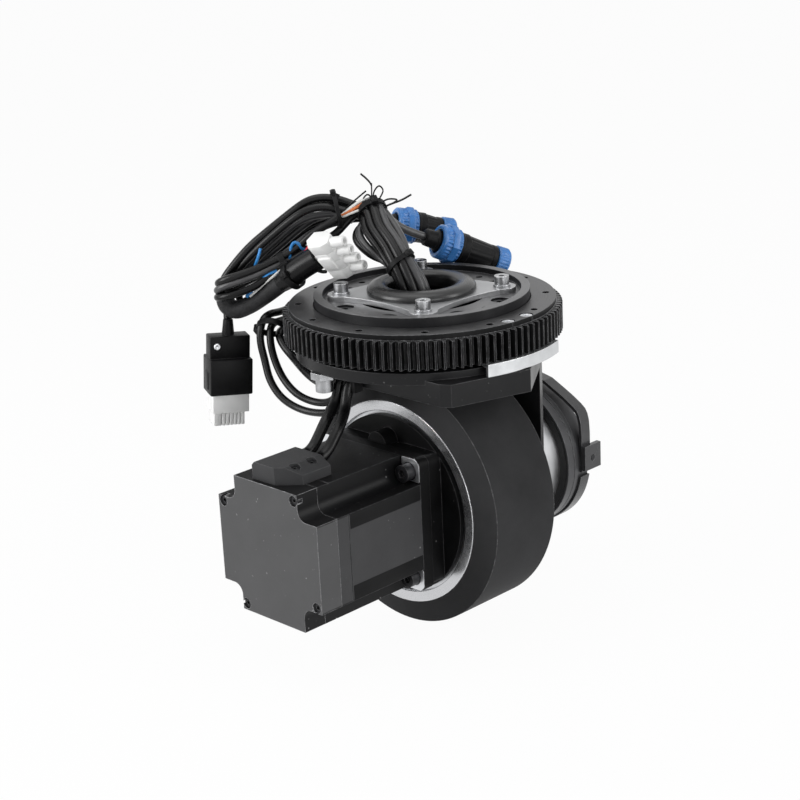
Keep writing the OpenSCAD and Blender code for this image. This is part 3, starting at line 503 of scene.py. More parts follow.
def cord(name, points, radius, mat, replaced, count, pieces=()):
    """Free cable: one smooth curve through points."""
    route = spline(points, count)
    data = bpy.data.curves.new(name, "CURVE")
    data.dimensions = "3D"
    data.bevel_depth = radius
    data.bevel_resolution = 4
    data.resolution_u = 6
    data.use_fill_caps = True
    line = data.splines.new("NURBS")
    line.points.add(len(route) - 1)
    for p, q in zip(line.points, route):
        p.co = (*q, 1)
    line.order_u = 4
    line.use_endpoint_u = True
    data.materials.append(mat)
    obj = finish_piece(bpy.data.objects.new(name, data), "fork", replaced)
    return obj


def seat(origin, z_axis, x_hint):
    """Matrix from local mm to the frame, local z along z_axis and local x near x_hint."""
    z = z_axis.normalized()
    x = (x_hint - z * x_hint.dot(z)).normalized()
    turn = Matrix((x, z.cross(x), z)).transposed().to_4x4()
    return Matrix.Translation(origin) @ turn @ Matrix.Scale(MM, 4)


def turned(origin, degrees):
    """Matrix from local mm, turned about x, then y, then z in the viewer's frame."""
    m = Matrix.Rotation(math.radians(45), 4, "Z")
    for value, axis in zip(reversed(degrees), "ZYX"):
        m = m @ Matrix.Rotation(math.radians(value), 4, axis)
    return Matrix.Translation(origin) @ m @ Matrix.Scale(MM, 4)


# ---- detailed ends of the free cables ----
CONNECTOR = turned(face(-58.4, 18, 22.8), (40, -10, -33))
CELL_PITCH = 7.6
CELL_HALF = 3.72  # half the width of a cell along the row


def white_connector():
    """Four cells in a row, each a tapered block with a barrel in front."""
    m = CONNECTOR
    bm = bmesh.new()
    profile = [(0.8, 0), (4.2, 5.8), (13, 5.8), (17, 3.2), (17, -3.2), (13, -5.8), (4.2, -5.8)]
    for i in range(4):
        z = CELL_PITCH * (i - 1.5)
        cell = bmesh.new()
        low, high = ([cell.verts.new((x, y, z + s * CELL_HALF)) for x, y in profile] for s in (-1, 1))
        for k in range(len(profile)):
            j = (k + 1) % len(profile)
            cell.faces.new((low[k], low[j], high[j], high[k]))
        cell.faces.new(list(reversed(low)))
        cell.faces.new(high)
        bmesh.ops.bevel(cell, geom=cell.edges[:], offset=0.3, segments=2, affect="EDGES", profile=0.5)
        merge(bm, cell, m)
        nose = m @ Matrix.Translation((15, 0, z)) @ Matrix.Rotation(math.radians(90), 4, "Y")
        barrel = [(3.1, 0), (3.1, 9.6), (2.7, 10.8), (1.75, 11), (1.6, 10.6), (1.5, 5), (0.3, 4.8)]
        merge(bm, lathe(barrel, 28), nose)
    merge(bm, block((5, -5.2, -14.9), (12, 5.2, 14.9), 0.3), m)
    for side in (-1, 1):
        y = sorted((side * 5.2, side * 7))
        merge(bm, block((4.6, y[0], -5), (13.6, y[1], 5), 0.5), m)
    return mesh_piece("white_connector_body", bm, M["white"], ["white_connector"], sharp=40)


def connector_wires():
    """Coloured wires that show where the boot meets the connector."""
    m = CONNECTOR
    bm = bmesh.new()
    ends = [(4.9, 6.2), (2.5, -5.2), (-2.4, 2), (-4, -9)]
    for index, (y, z) in enumerate(ends):
        route = [Vector(p) for p in ((-9, y * 0.5, z * 0.4), (-5, y * 0.9, z * 0.8), (-1.5, y, z), (1, y, z))]
        merge(bm, sweep(spline(route, 12), 1.1, 10), m, index)
    mats = [M["wire_red"], M["wire_yellow"], M["wire_white"], M["jacket"]]
    return mesh_piece("connector_wires", bm, mats)


SLEEVE = faces(
    (-116.4, 40, -1.8), (-116.2, 39, -8.6), (-111.2, 38, -12), (-103.6, 36, -9.6), (-94.1, 33, -3.6),
    (-82.1, 29, 5.2), (-76.2, 26.4, 9.8), (-69.9, 24, 15), (-58.4, 18, 22.8))
BOOT_R, BOOT_START_R = 7.3, 5.6
BOOT_POINTS, BOOT_FLARE = 30, 9  # points along the boot, and those over which it widens


def boot():
    """Black boot over the sleeve's end, behind the connector."""
    route = spline(SLEEVE[5:], BOOT_POINTS)
    wider = (BOOT_R - BOOT_START_R) / BOOT_FLARE
    radii = [min(BOOT_R, BOOT_START_R + wider * i) * MM for i in range(BOOT_POINTS)]
    bm = bmesh.new()
    merge(bm, sweep(route, radii, 26), Matrix())
    return mesh_piece("connector_boot", bm, M["jacket"])


PLUG = turned(face(-116.6, 40, -27.3), (0, 4.4, 19))
PLUG_TEETH = 6
TOOTH_START, TOOTH_PITCH, TOOTH_HALF = -4.4, 2.38, 1.05


def plug_housing():
    """Black plug: neck, wider body with a pad on each side, and strain relief."""
    bm = bmesh.new()
    merge(bm, block((-12.3, -5.5, -14.7), (12.3, 5.5, 0), 0.7), PLUG)
    merge(bm, block((-13, -9.5, -35.7), (13, 9.5, -13.7), 0.8), PLUG)
    merge(bm, block((-13.6, -4, -33), (13.6, 4, -22), 0.5), PLUG)
    relief = [(3.7, -1), (3.7, 1.2), (3.5, 3), (3.2, 6), (2.95, 9), (2.65, 9.4)]
    merge(bm, lathe(relief, 28), PLUG)
    return mesh_piece("plug_shell", bm, M["plastic"], ["plug_housing"])


def plug_screw():
    """Bright eyelet on each face of the plug's neck."""
    bm = bmesh.new()
    for y, s in ((-5.4, 1), (5.4, -1)):
        m = PLUG @ Matrix.Translation((-8, y, -6)) @ Matrix.Rotation(math.radians(90 * s), 4, "X")
        merge(bm, lathe([(2.1, -0.5), (2.1, 0.5), (1.7, 0.9), (0.9, 0.9), (0.8, 0.3), (0.1, 0.2)], 24), m)
    return mesh_piece("plug_eyelets", bm, M["bright"])


def plug_insert():
    """White end of the plug: collar, comb of teeth in two rows and a latch on each side."""
    bm = bmesh.new()
    merge(bm, block((-11.2, -7.9, -47), (11.2, 7.9, -34), 0.5), PLUG)
    merge(bm, block((-10.3, -6.6, -48.4), (8.6, 5.6, -46), 0.3), PLUG)
    merge(bm, block((-10.3, -7, -55), (-5.8, 6, -46.5), 0.4), PLUG)
    for i in range(PLUG_TEETH):
        x = TOOTH_START + TOOTH_PITCH * i
        for y0, y1 in ((-7, -0.8), (-0.2, 6)):
            merge(bm, block((x - TOOTH_HALF, y0, -55), (x + TOOTH_HALF, y1, -47.5), 0.3), PLUG)
    for x in (-11.6, 10.6):
        merge(bm, block((x, -3, -46), (x + 1, 3, -37), 0.3), PLUG)
    return mesh_piece("plug_core", bm, M["white"], ["plug_insert"])


# both ends of each round connector
AUX = {"a": (face(-14.3, 88, 24.3), face(21.4, 99, 15.1)),
       "b": (face(11.2, 64, 18.2), face(52.7, 80, -1.2))}
AUX_LENGTH = 39  # with the shortest body


def aux_connector(key):
    """Round cable connector: gland, ribbed union nut, black body, ribbed end nut."""
    p, q = AUX[key]
    m = seat(p, q - p, Vector((0, 0, 1)))
    far = max(0, (q - p).length / MM - AUX_LENGTH)
    end = m @ Matrix.Translation((0, 0, far))
    nut = bmesh.new()
    merge(nut, lathe([(7.3, 3.2), (7.3, 0.6), (7.9, 0), (9.4, 0), (10.4, 0.8), (10.6, 2.4), (10.6, 3, 0.7),
                      (10.6, 12, 0.7), (10.6, 12.6), (9.8, 13.2), (6, 13.2)], 112, 28), m)
    merge(nut, lathe([(11.6, 6.2), (11.8, 6.6), (11.8, 10.2), (11.4, 10.8)], 8), m)
    merge(nut, lathe([(5, 30.4), (8, 30.6), (8.6, 31.2), (8.6, 31.6, 0.5), (8.6, 37.2, 0.5), (8.6, 37.8),
                      (7.8, 38.9), (5.6, 39), (5.2, 37.5), (0.4, 37.4)], 96, 24), end)
    blue = mesh_piece("aux_nut_" + key, nut, M["blue"], ["aux_nuts"], sharp=30)
    body = bmesh.new()
    merge(body, lathe([(2.4, -9), (4.4, -9), (5.2, -8.2), (5.6, -2), (6.4, -1), (6.6, 3.6)], 48), m)
    merge(body, lathe([(8, 12.8), (9.5, 13), (9.6, 14.5), (9.2, 15.2), (9.4, 16), (9.4, 19), (8.9, 19.6, 0.3),
                       (7.9, 26 + far, 0.3), (7.6, 26.6 + far), (8, 27.2 + far), (8, 29.6 + far),
                       (7.2, 30.9 + far)], 96, 16), m)
    black = mesh_piece("aux_body_" + key, body, M["plastic"], ["aux_bodies"], sharp=30)
    return blue, black


# ---- cables ----
# rings of strands: centre, way up and radius; from the passage to the tie, then the knot
TIE_RING = ((-11.3, 4.8, 19.6), (-0.55, 0.5, 0.67), 5.7)
LOW_RINGS = [((0, 0, -32), (0, 0, 1), 6.2), ((0, 0, -20), (0, 0, 1), 6.2), ((-2, 0, -6), (-0.1, 0, 1), 6.4),
             ((-5, 0.6, 7), (-0.3, 0.15, 1), 6.6), TIE_RING]
KNOT_RING = ((-26.6, 34.4, 44.8), (-0.3, 0.75, 0.58), 5.6)
# angle of each strand on the rings; the one in the middle has none
LANE_ANGLE = {1: 0, 2: -45, 3: -90, 4: -135, 5: 180, 6: 135, 7: 90, 8: None, 9: 45}
# two points of each strand between the tie and the knot
BETWEEN = {
    1: ((-9.5, 13, 31), (-14.4, 23, 38.8)), 2: ((-13, 10, 32.2), (-18.6, 20, 39.6)),
    3: ((-17, 8, 32.8), (-22.8, 18, 39.8)), 4: ((-20.8, 9, 31), (-26.8, 19.4, 38.4)),
    5: ((-24.4, 12, 28.8), (-30.8, 22.4, 36.8)), 6: ((-28.2, 16.4, 25.4), (-34.8, 27.4, 34)),
    7: ((-29.6, 21.4, 23), (-37, 32, 31.6)), 8: ((-22, 16.6, 26.4), (-30, 28, 35)),
    9: ((-14.4, 17, 27.4), (-20.4, 29, 36)),
}


def ring_point(ring, lane):
    """Place of a strand on a ring."""
    centre, way, radius = ring
    if LANE_ANGLE[lane] is None:
        return face(*centre)
    t = face(*way).normalized()
    e1 = (RIGHT - t * RIGHT.dot(t)).normalized()
    angle = math.radians(LANE_ANGLE[lane])
    return face(*centre) + (e1 * math.cos(angle) + t.cross(e1) * math.sin(angle)) * (radius * MM)


def riser_lane(lane):
    """Route of one strand from the passage to the knot."""
    return [ring_point(r, lane) for r in LOW_RINGS] + faces(*BETWEEN[lane]) + [ring_point(KNOT_RING, lane)]


FREE = ["riser_bundle", "cable_hank"]
# routes from the knot on, traced from the photograph where they show
HANK = {
    "sleeve": faces((-34.5, 38, 47), (-42.2, 41, 49.7), (-49.6, 43, 51.6), (-57.1, 43, 52.2),
                    (-63.9, 43, 50.8), (-70.9, 43, 46.6), (-79.8, 43, 40.2), (-89.5, 42, 33.2),
                    (-98.4, 42, 26.3), (-105.6, 41, 19.5), (-111.6, 40, 12.8), (-116.6, 39.5, 6.5),
                    (-118.8, 39.8, 0.5), (-118.2, 39.4, -5)),
    "plug": faces((-34.5, 41, 43.8), (-42.2, 45, 45.6), (-50.4, 47, 47.8), (-58, 48, 48),
                  (-65.7, 48, 45.2), (-74.4, 48, 39.8), (-85, 48, 31.6), (-95.6, 48, 23.4),
                  (-103.8, 48, 15.4), (-110, 48.6, 9), (-114.4, 49.1, 3), (-116, 49.2, -4),
                  (-116.4, 48.4, -11), (-116.4, 44.4, -18), (-116.2, 40.6, -22.6), (-116.6, 40, -27.5)),
    "bare": faces((-35.7, 34, 44.2), (-44.8, 36, 45.8), (-52.2, 36.5, 47.8), (-60.5, 37, 47.6),
                  (-69.1, 37, 44.2), (-77.9, 38, 38), (-87.6, 39, 30.4), (-96.5, 40, 22.8),
                  (-104, 41, 15.6), (-111, 42.5, 8.6), (-117, 42, 4.6), (-120, 37.5, 4.2),
                  (-118.3, 32.5, 7), (-111.5, 30, 9.6), (-98.5, 30, 13.4), (-88.2, 30, 17.5),
                  (-78.7, 30, 21.9), (-70.8, 30, 26.2), (-62.9, 30, 33.1), (-55.1, 30, 37.8),
                  (-49.1, 30, 40.9), (-44.8, 31, 43.5)),
    "blue": faces((-37.5, 38, 41.8), (-46.7, 41, 42.5), (-56.1, 43, 42), (-66.3, 44, 40),
                  (-74.3, 45, 35.4), (-82.3, 45, 28.9), (-91.3, 45, 21.5), (-99.4, 45, 14.2),
                  (-106.5, 45, 8.2), (-113.5, 44.5, 3.2), (-119, 42, 0), (-121, 37, 0.2),
                  (-119, 32.2, 3), (-111, 30, 6), (-97, 30, 10.4), (-85.7, 30, 15.4),
                  (-78.8, 30.4, 18.2), (-72.1, 31, 20.4), (-66, 32, 24.5)),
    "short": faces((-37, 36, 42.4), (-42, 35.2, 38.4), (-47.7, 34, 32.8), (-56, 33.4, 28.2),
                   (-65, 34.6, 24), (-75, 36.5, 18.8), (-85, 38.4, 13.2), (-96, 41, 7.4),
                   (-106, 44, 2.2), (-113.4, 45, -1.4), (-119, 42, -3.6), (-121, 36.4, -3.4),
                   (-118.6, 30.8, -2.2), (-112, 28.2, -0.6), (-105, 28, 1.4), (-97, 28.6, 4.4),
                   (-91, 29.4, 8), (-86, 30.6, 11.4), (-79, 32.2, 15)),
    "spare_a": faces((-34, 44, 40), (-42.6, 45.4, 41), (-50.4, 46.4, 41.6), (-57.3, 47, 40.4),
                     (-64.4, 47.6, 37), (-72.6, 48, 31.2), (-84, 48, 22.2), (-94.4, 47.6, 14.8),
                     (-103.6, 47, 8.4), (-111, 46, 3.6), (-117, 43, 1.4), (-119.4, 38.4, 1.8),
                     (-117, 34.4, 4), (-109, 33.4, 6.6), (-96.5, 34, 11.4), (-85, 35, 17.4),
                     (-75, 36, 24), (-66, 37.4, 30.4), (-57, 39, 35), (-47.5, 41, 37.6), (-39, 43, 38)),
    "spare_b": faces((-30, 43, 39), (-40, 47, 37.6), (-50, 50, 36.8), (-58, 51, 35), (-66, 51.4, 31.6),
                     (-74, 51.6, 26.2), (-83, 51.6, 19.6), (-92, 51.6, 12.8), (-100, 51.4, 6.4),
                     (-106.4, 51, 0), (-109.6, 50.4, -6.6), (-107.6, 49.6, -12.4), (-102, 49, -14.4),
                     (-95.6, 48.6, -11.6), (-90, 48, -6.4), (-84, 47.6, 0), (-78, 47, 6.6),
                     (-72, 46.6, 13), (-66, 46, 19)),
}


def strap_ring(ra, rb, width, thick, count=44):
    """Flat band about z, half axes ra and rb inside, in mm."""
    b = bmesh.new()
    rings = []
    for k in range(count):
        a = 2 * math.pi * k / count
        c, s = math.cos(a), math.sin(a)
        corners = ((0, -1), (thick, -1), (thick, 1), (0, 1))
        rings.append([b.verts.new(((ra + o) * c, (rb + o) * s, w * width / 2)) for o, w in corners])
    for k in range(count):
        r0, r1 = rings[k], rings[(k + 1) % count]
        for i in range(4):
            j = (i + 1) % 4
            b.faces.new((r0[i], r0[j], r1[j], r1[i]))
    return b


def cable_tie(name, origin, axis, hint, ra, rb, head, tail=None, replaced=(), width=3.6):
    """Zip tie: band, head block with its slot, and a tail. The band's half axes inside are ra and
    rb, in mm, and head is the head's angle on the band."""
    m = seat(origin, axis, hint)
    bm = bmesh.new()
    merge(bm, strap_ring(ra, rb, width, 1.1), m)
    a = math.radians(head)
    spot = m @ Matrix.Translation((ra * math.cos(a), rb * math.sin(a), 0)) @ Matrix.Rotation(a, 4, "Z")
    merge(bm, block((-0.4, -2.2, -width * 0.7), (3, 2.2, width * 0.7), 0.5), spot)
    merge(bm, block((2.6, -1, -width * 0.35), (3.5, 1, width * 0.35), 0.25), spot)
    if tail:
        merge(bm, ribbon(spline(tail, 16), 2.4 * MM, 0.9 * MM, axis), Matrix())
    return mesh_piece(name, bm, M["plastic"], replaced)


def aux_route(key, start):
    """start, led straight into the back of a round connector."""
    p, q = AUX[key]
    way = (q - p).normalized()
    return start + [p + way * (step * MM) for step in (-10, -2, 3)]


def wires(name, specs):
    """Short coloured wires: specs are (material, radius in mm, route)."""
    bm = bmesh.new()
    mats = []
    for index, (mat, radius, route) in enumerate(specs):
        mats.append(M[mat])
        merge(bm, sweep(spline(route, 20), radius * MM, 10), Matrix(), index)
    return mesh_piece(name, bm, mats)


def bare_wires():
    start = faces((-46, 31, 43), (-44.8, 31, 43.5))
    return wires("bare_wire_ends", [
        ("wire_white", 0.9, start + faces((-43.2, 30.8, 44.5), (-39.2, 31, 47.6), (-34.2, 31.4, 50.8),
                                          (-30.2, 32, 52.4))),
        ("wire_orange", 0.85, start + faces((-43.6, 30.4, 44), (-40.3, 30.4, 45.7), (-36.3, 30.8, 47.6),
                                            (-31.8, 31.4, 49.9))),
        ("wire_white", 0.75, start + faces((-43.4, 30, 43.2), (-38.4, 30, 45), (-33.4, 30.4, 46.6),
                                           (-29, 31, 48))),
    ])


def blue_wires():
    return wires("blue_wire_ends", [
        ("wire_blue", 0.95, faces((-77.4, 30.6, 16), (-75.6, 29, 21.4), (-74.6, 28.5, 27), (-72.6, 28, 29.6),
                                  (-70.3, 28, 28.8), (-68.4, 29, 25.4), (-66.6, 31, 24.6))),
        ("wire_blue", 0.9, faces((-97, 34, 15), (-95.3, 32, 19.2), (-93.9, 31, 22.8), (-92.8, 31.4, 26.2))),
        ("wire_blue", 1.1, faces((-103, 31, -2.5), (-99.4, 30, 1.7), (-93.9, 29, 7.2), (-89.4, 29, 10.4),
                                 (-84, 29.6, 12.9))),
        ("wire_white", 0.8, faces((-101, 30.4, -2.2), (-97.4, 29.2, 0.8), (-91.5, 28.2, 6), (-86, 28.2, 10),
                                  (-80, 29, 14.4), (-74, 29.6, 18.4))),
    ])


def free_cables():
    """Cables that come up through the grommet, with what is on their ends."""
    connector, links, cover = white_connector(), connector_wires(), boot()
    tie = cable_tie("riser_tie_band", *faces(*TIE_RING[:2]), RIGHT, 8.2, 8.2, -50, replaced=["riser_tie"],
                    width=2.8)
    cord("cable_to_sleeve", riser_lane(3) + HANK["sleeve"], 0.0025, M["jacket_b"], FREE, 44,
         pieces=[tie])
    cord("connector_sleeve_tube", SLEEVE, 0.0055, M["sleeve"], ["connector_sleeve"], 24,
         pieces=[connector, links, cover])
    cord("cable_to_plug", riser_lane(7) + HANK["plug"], 0.0026, M["jacket"], FREE + ["plug_lead"], 46,
         pieces=[plug_housing(), plug_screw(), plug_insert()])
    for key, lane, start in (("a", 2, ((-25, 41, 49), (-29, 50, 47), (-31, 60, 42.6), (-29.5, 73, 35.4))),
                             ("b", 1, ((-23, 41, 46.4), (-20, 47.4, 40), (-11, 54.6, 30)))):
        cord("cable_to_aux_" + key, aux_route(key, riser_lane(lane) + faces(*start)), 0.0025, M["jacket_lit"],
             FREE + ["aux_lead_" + key], 40, pieces=aux_connector(key))
    cord("cable_bare_end", riser_lane(4) + HANK["bare"], 0.0024, M["jacket_b"], FREE, 60,
         [bare_wires()])
    cord("cable_blue_ends", riser_lane(6) + HANK["blue"], 0.0022, M["jacket_lit"], FREE, 58,
         [blue_wires()])
    cord("cable_short_end", riser_lane(5) + HANK["short"], 0.0023, M["jacket"], FREE, 56)
    cord("cable_spare_a", riser_lane(8) + HANK["spare_a"], 0.0022, M["jacket_lit"], FREE, 60)
    cord("cable_spare_b", riser_lane(9) + HANK["spare_b"], 0.0022, M["jacket"], FREE, 60)


free_cables()

# cables of the motor and the sensor loops, on the routes of the solids
MOTOR_A = places(
    (5.8, -94, -69.5), (5.8, -90, -69.5), (5.6, -85, -67), (5, -80, -62.6), (4, -75, -58.2), (1.6, -69, -53.6),
    (-1.1, -64, -49.4), (-2.6, -60.8, -43.6), (-3, -58.6, -38), (-3, -56, -34.8), (-3, -53, -34.5))
MOTOR_B = places(
    (-5.5, -94, -69.5), (-5.5, -90, -69.4), (-5.6, -85.6, -67.2), (-5.9, -80.4, -62), (-6.5, -75, -56.3),
    (-7.9, -69, -52), (-9.1, -64, -48.6), (-10, -60.8, -43.6), (-10.3, -58.6, -38), (-10.3, -56, -34.8),
    (-10.3, -53, -34.5))
LOOP_A = places((-76.0, 8.0, -36.9), (-82.6, 12.5, -36.9), (-90, 3, -31), (-91.5, -12, -27),
                (-86.8, -29.5, -25.4))
LOOP_A += faces((-85, 25, -25.4), (-82.6, 20, -29.7), (-76.6, 12, -35.4), (-69, -10, -37.3), (-63, -26, -37.6),
                (-58.5, -36, -37))
LOOP_B = places((-70.0, 16.8, -31.9), (-76.6, 21.3, -31.5), (-88, 12, -25), (-91.8, -2, -17),
                (-91.5, -12, -14.8), (-87, -30, -14.6))
LOOP_B += faces((-93.4, 25.5, -14.2), (-96.2, 22.3, -26), (-94, 20, -38.6), (-91.6, 16, -49.8),
                (-84.8, 10, -59.4), (-74.3, 4, -64.8), (-61, -6, -64.6))
LOOP_B += places((-24, -46.2, -59.5), (-18.6, -46, -52.5), (-18, -46, -45.5), (-18, -46, -39.5))
LOOP_C = places((-76.0, 8.0, -31.6), (-82.6, 12.5, -31.6), (-90, 3, -25.4), (-91.5, -12, -20.8),
                (-87, -30, -20))
LOOP_C += faces((-89.6, 25.6, -19.6), (-90, 20.5, -28), (-88.4, 18, -37), (-83.5, 12, -47.8),
                (-75.4, 4, -55.5), (-65.5, -2, -58.8))
LOOP_C += places((-33.5, -46.4, -57), (-27, -46, -52), (-25, -46, -45.5), (-25, -46, -39.5))
for name, route, radius, mat in (
        ("motor_cable_a", MOTOR_A, 3.25, "jacket"), ("motor_cable_b", MOTOR_B, 3.25, "jacket_b"),
        ("loop_cable_a", LOOP_A, 2.5, "jacket"), ("loop_cable_b", LOOP_B, 2.25, "jacket_b"),
        ("loop_cable_c", LOOP_C, 2.25, "jacket")):
    cord(name.replace("cable", "line"), route, radius * MM, M[mat], [name], 36)


# ---- cable ties ----
cable_tie("knot_tie_band", *faces(*KNOT_RING[:2]), RIGHT, 8, 8, -80, width=3.4)
cable_tie("hank_tie_top", face(-47.4, 40.4, 44.4), face(8, 1, 1.2), AWAY, 12.4, 10.2, 100,
          tail=faces((-47.6, 35, 50.4), (-47, 35.6, 52.6), (-45.8, 36, 55.4)), width=2.4)
cable_tie("hank_tie_low", face(-79.4, 30.6, 17.6), face(8, 0, 4.2), AWAY, 3.6, 5.4, 190)
cable_tie("sleeve_tie_band", face(-74.6, 26, 10.6), face(6, -3, 4.6), AWAY, 7.6, 7.6, 150)
cable_tie("loop_tie_band", face(-89.4, 25, -20.2), face(-1, -6, -5), RIGHT, 7.6, 6.4, 200,
          replaced=["loop_tie"])


def tie_tails():
    """Cut ends and loose loops of tie tail at the knot."""
    bm = bmesh.new()
    for width, route in (
            (2, ((-26.6, 31, 48), (-26.4, 31.4, 52), (-26.1, 32, 57), (-26, 32, 61.5))),
            (2.2, ((-26, 32, 60), (-26.6, 32, 61.6), (-29, 32, 64.6), (-32, 32, 67.4))),
            (1.2, ((-26.2, 33, 50), (-24.4, 33, 57), (-21.6, 33, 59.6), (-19.5, 33, 57), (-22.2, 33.4, 51),
                   (-23, 34, 47))),
            (1.2, ((-31.4, 32, 46), (-31.2, 32, 52.6), (-28.6, 32, 55), (-26.4, 32, 53), (-26, 32.6, 49))),
            (2.2, ((-22, 33, 45.6), (-16.9, 33, 48), (-9.2, 33, 50.6), (-3.2, 33, 53.6))),
            (1.2, ((-22, 33.6, 49), (-16.7, 33.6, 51.4), (-11.6, 33.6, 50.7), (-15.6, 33.4, 48.2))),
            (1.3, ((-42, 34, 46.6), (-40.6, 33.6, 48), (-35.5, 33, 52.3), (-29.4, 33, 57)))):
        merge(bm, ribbon(spline(faces(*route), 24), width * MM, 0.8 * MM, AWAY), Matrix())
    return mesh_piece("tie_tails", bm, M["plastic"])


tie_tails()


# ---- small parts of the motor, the brake and the plate ----
STRIP_X = 40.05
STRIP_Y = (-103.2, -49)
STRIP_HIGH = 20.9  # from the motor's axis to the middle of a strip
STRIP_HALF = 4.3
STRIP_THICK = 0.12  # on each side of the motor's wall


def motor_strips():
    """Dark strips along the motor's two sides."""
    bm = bmesh.new()
    for x in (-STRIP_X, STRIP_X):
        for z in (AXLE_MM - STRIP_HIGH, AXLE_MM + STRIP_HIGH):
            low = (x - STRIP_THICK, STRIP_Y[0], z - STRIP_HALF)
            high = (x + STRIP_THICK, STRIP_Y[1], z + STRIP_HALF)
            merge(bm, block(low, high, 0.08), Matrix.Scale(MM, 4))
    return mesh_piece("motor_strips", bm, M["strip"])


SCREW_AT = 31.8  # from the motor's axis to a flange screw, across and up
CORNER_IN, CORNER_OUT = 5.3, 9.2  # radius of the hole in a corner, and of its rounding
TO_EDGE, TO_MIDDLE = 7.9, 5.6  # how far a corner reaches from its screw


def corner_reach(c, s):
    """Distance from the screw to the corner's outline in the direction (c, s)."""
    across = (TO_EDGE if c > 0 else TO_MIDDLE) / max(abs(c), 1e-6)
    upward = (TO_EDGE if s > 0 else TO_MIDDLE) / max(abs(s), 1e-6)
    return min(across, upward, CORNER_OUT)


def flange_corners():
    """Bare bright corners of the flange round its screws."""
    bm = bmesh.new()
    count = 48
    for sx in (-1, 1):
        for sz in (-1, 1):
            rings = []
            for y in (-48.6, -48.8):
                for inner in (True, False):
                    ring = []
                    for k in range(count):
                        a = 2 * math.pi * k / count
                        c, s = math.cos(a), math.sin(a)
                        r = CORNER_IN if inner else corner_reach(c, s)
                        x, z = sx * (SCREW_AT + r * c), sz * (SCREW_AT + r * s)
                        ring.append(bm.verts.new(at(x, y, AXLE_MM + z)))
                    rings.append(ring)
            low_in, low_out, top_in, top_out = rings
            for k in range(count):
                j = (k + 1) % count
                for r0, r1 in ((top_in, top_out), (top_out, low_out), (low_out, low_in), (low_in, top_in)):
                    bm.faces.new((r0[k], r0[j], r1[j], r1[k]))
    return mesh_piece("flange_corners", bm, M["bright"])


def grommet():
    """Rubber ring that lines the cable hole, with a rounded lip over the plate."""
    bm = bmesh.new()
    lip = [(19.5, 2), (19.5, 7.4), (19.8, 8.5), (20.6, 9.4), (21.9, 10), (23.6, 10.3), (25.6, 10.4),
           (27.6, 10.2), (29.3, 9.6), (30.6, 8.6), (31.3, 7.4), (31.5, 6.2), (31.3, 5), (24.5, 5), (24.5, 2)]
    merge(bm, turned_ring(lip), Matrix.Scale(MM, 4))
    return mesh_piece("grommet_lip", bm, M["grommet"], ["cable_grommet"], sharp=50)


def clamp_pin():
    """End of the pin in the strap's clamp."""
    bm = bmesh.new()
    m = seat(at(49.2, 91.6, -113), Vector((1, 0, 0)), Vector((0, 0, 1)))
    merge(bm, lathe([(1.8, -2.4), (1.8, 0.3), (1.5, 0.7), (0.5, 0.8)], 28), m)
    return mesh_piece("clamp_pin", bm, M["dark_screw"])


motor_strips()
flange_corners()
clamp_pin()
grommet()

# ---- materials of the solids that show ----
NODE_MATERIALS = {
    "gear": ["slew_gear_ring"],
    "inner": ["slew_inner_ring"],
    "dark_screw": ["ring_screws", "case_screws", "flange_screws", "small_screws"],
    "screw": ["plate_screws", "plate_washers", "home_sensor"],
    "bright": ["flag_screws", "slew_balls", "planet_pins", "bearing_inner_rings", "bearing_outer_rings",
               "motor_bearings"],
    "gears": ["motor_rotor", "ring_gear", "sun_gear", "planet_gear_1", "planet_gear_2", "planet_gear_3",
              "brake_disc"],
    "flag": ["home_flag"],
    "plate": ["cable_plate"],
    "fork": ["fork_bracket"],
    "case": ["gear_case_front", "gear_case_rear", "motor_flange"],
    "silver": ["wheel_hub"],
    "dull_silver": ["brake_body"],
    "motor": ["motor_body"],
    "cover": ["motor_rear_cover"],
    "brake": ["brake_ring", "brake_cover"],
    "strap": ["brake_strap", "strap_clamp"],
    "winding": ["motor_stator"],
    "rubber": ["brake_seal"],
    "tread": ["tyre"],
    "box": ["terminal_box"],
    "plastic": ["cable_clip"],
}
for key, names in NODE_MATERIALS.items():
    for name in names:
        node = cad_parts[name]
        node.data.materials.clear()
        node.data.materials.append(M[key])


# ---- floor, light and background ----
FLOOR_GLOW = 0.96  # share of plain white in what the camera sees of the floor
AMBIENT = 0.2


def camera_mask(tree):
    """1 for rays that see the background: from the camera, or through gloss and glass."""
    path = tree.nodes.new("ShaderNodeLightPath")
    seen = path.outputs["Is Camera Ray"]
    for ray in ("Is Glossy Ray", "Is Transmission Ray"):
        either = tree.nodes.new("ShaderNodeMath")
        either.operation = "MAXIMUM"
        tree.links.new(seen, either.inputs[0])
        tree.links.new(path.outputs[ray], either.inputs[1])
        seen = either.outputs["Value"]
    return seen


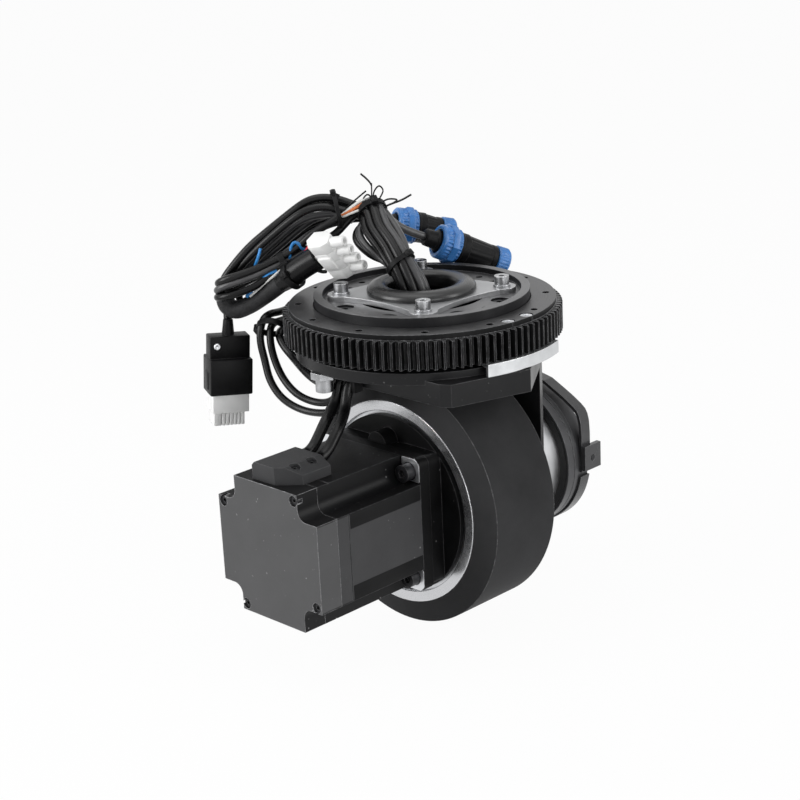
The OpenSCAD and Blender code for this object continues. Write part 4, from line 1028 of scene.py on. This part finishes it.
def make_floor():
    """White floor that takes shadows."""
    bm = bmesh.new()
    bmesh.ops.create_grid(bm, x_segments=8, y_segments=8, size=4)
    me = bpy.data.meshes.new("floor")
    bm.to_mesh(me)
    bm.free()
    n = Nodes("floor_white")
    n.bsdf.inputs["Roughness"].default_value = 0.6
    tone = n.ramp(n.noise(3), [(0.3, (0.84, 0.84, 0.84)), (0.7, (0.88, 0.88, 0.88))])
    n.link(tone, n.bsdf.inputs["Base Color"])
    glow = n.add("ShaderNodeEmission")
    mix = n.add("ShaderNodeMixShader")
    n.link(n.math("MULTIPLY", camera_mask(n.tree), FLOOR_GLOW), mix.inputs["Fac"])
    n.link(n.bsdf.outputs["BSDF"], mix.inputs[1])
    n.link(glow.outputs["Emission"], mix.inputs[2])
    n.link(mix.outputs["Shader"], n.tree.nodes["Material Output"].inputs["Surface"])
    me.materials.append(n.mat)
    floor = bpy.data.objects.new("floor", me)
    floor.location.z = FLOOR_Z
    scene.collection.objects.link(floor)


def make_world():
    """White behind the object, and a weaker light from all sides."""
    world = bpy.data.worlds.new("studio")
    scene.world = world
    world.use_nodes = True
    tree = world.node_tree
    tree.nodes.clear()
    ambient = tree.nodes.new("ShaderNodeBackground")
    ambient.inputs["Color"].default_value = (0.9, 0.92, 0.95, 1)
    ambient.inputs["Strength"].default_value = AMBIENT
    white = tree.nodes.new("ShaderNodeBackground")
    white.inputs["Color"].default_value = (1, 1, 1, 1)
    mix = tree.nodes.new("ShaderNodeMixShader")
    out = tree.nodes.new("ShaderNodeOutputWorld")
    link = tree.links.new
    link(camera_mask(tree), mix.inputs["Fac"])
    link(ambient.outputs["Background"], mix.inputs[1])
    link(white.outputs["Background"], mix.inputs[2])
    link(mix.outputs["Shader"], out.inputs["Surface"])


def lamp(name, place, target, size, watts):
    """Rectangular area light at place, turned to target."""
    data = bpy.data.lights.new(name, "AREA")
    data.shape = "RECTANGLE"
    data.size, data.size_y = size
    data.energy = watts
    obj = bpy.data.objects.new(name, data)
    obj.location = place
    obj.rotation_euler = (Vector(target) - Vector(place)).to_track_quat("-Z", "Y").to_euler()
    scene.collection.objects.link(obj)


make_floor()
make_world()
lamp("top_softbox", (0.0, -0.1, 1.0), (0, 0, -0.05), (1.0, 0.8), 4)
lamp("left_softbox", (-0.5, -1.1, 0.4), (0, 0, -0.08), (0.7, 0.9), 13)
lamp("right_strip", (1.1, 0.5, 0.4), (0, 0, -0.08), (0.4, 1.0), 6)
lamp("front_fill", (1.2, -0.35, 0.02), (0, 0, -0.1), (0.5, 0.5), 4)
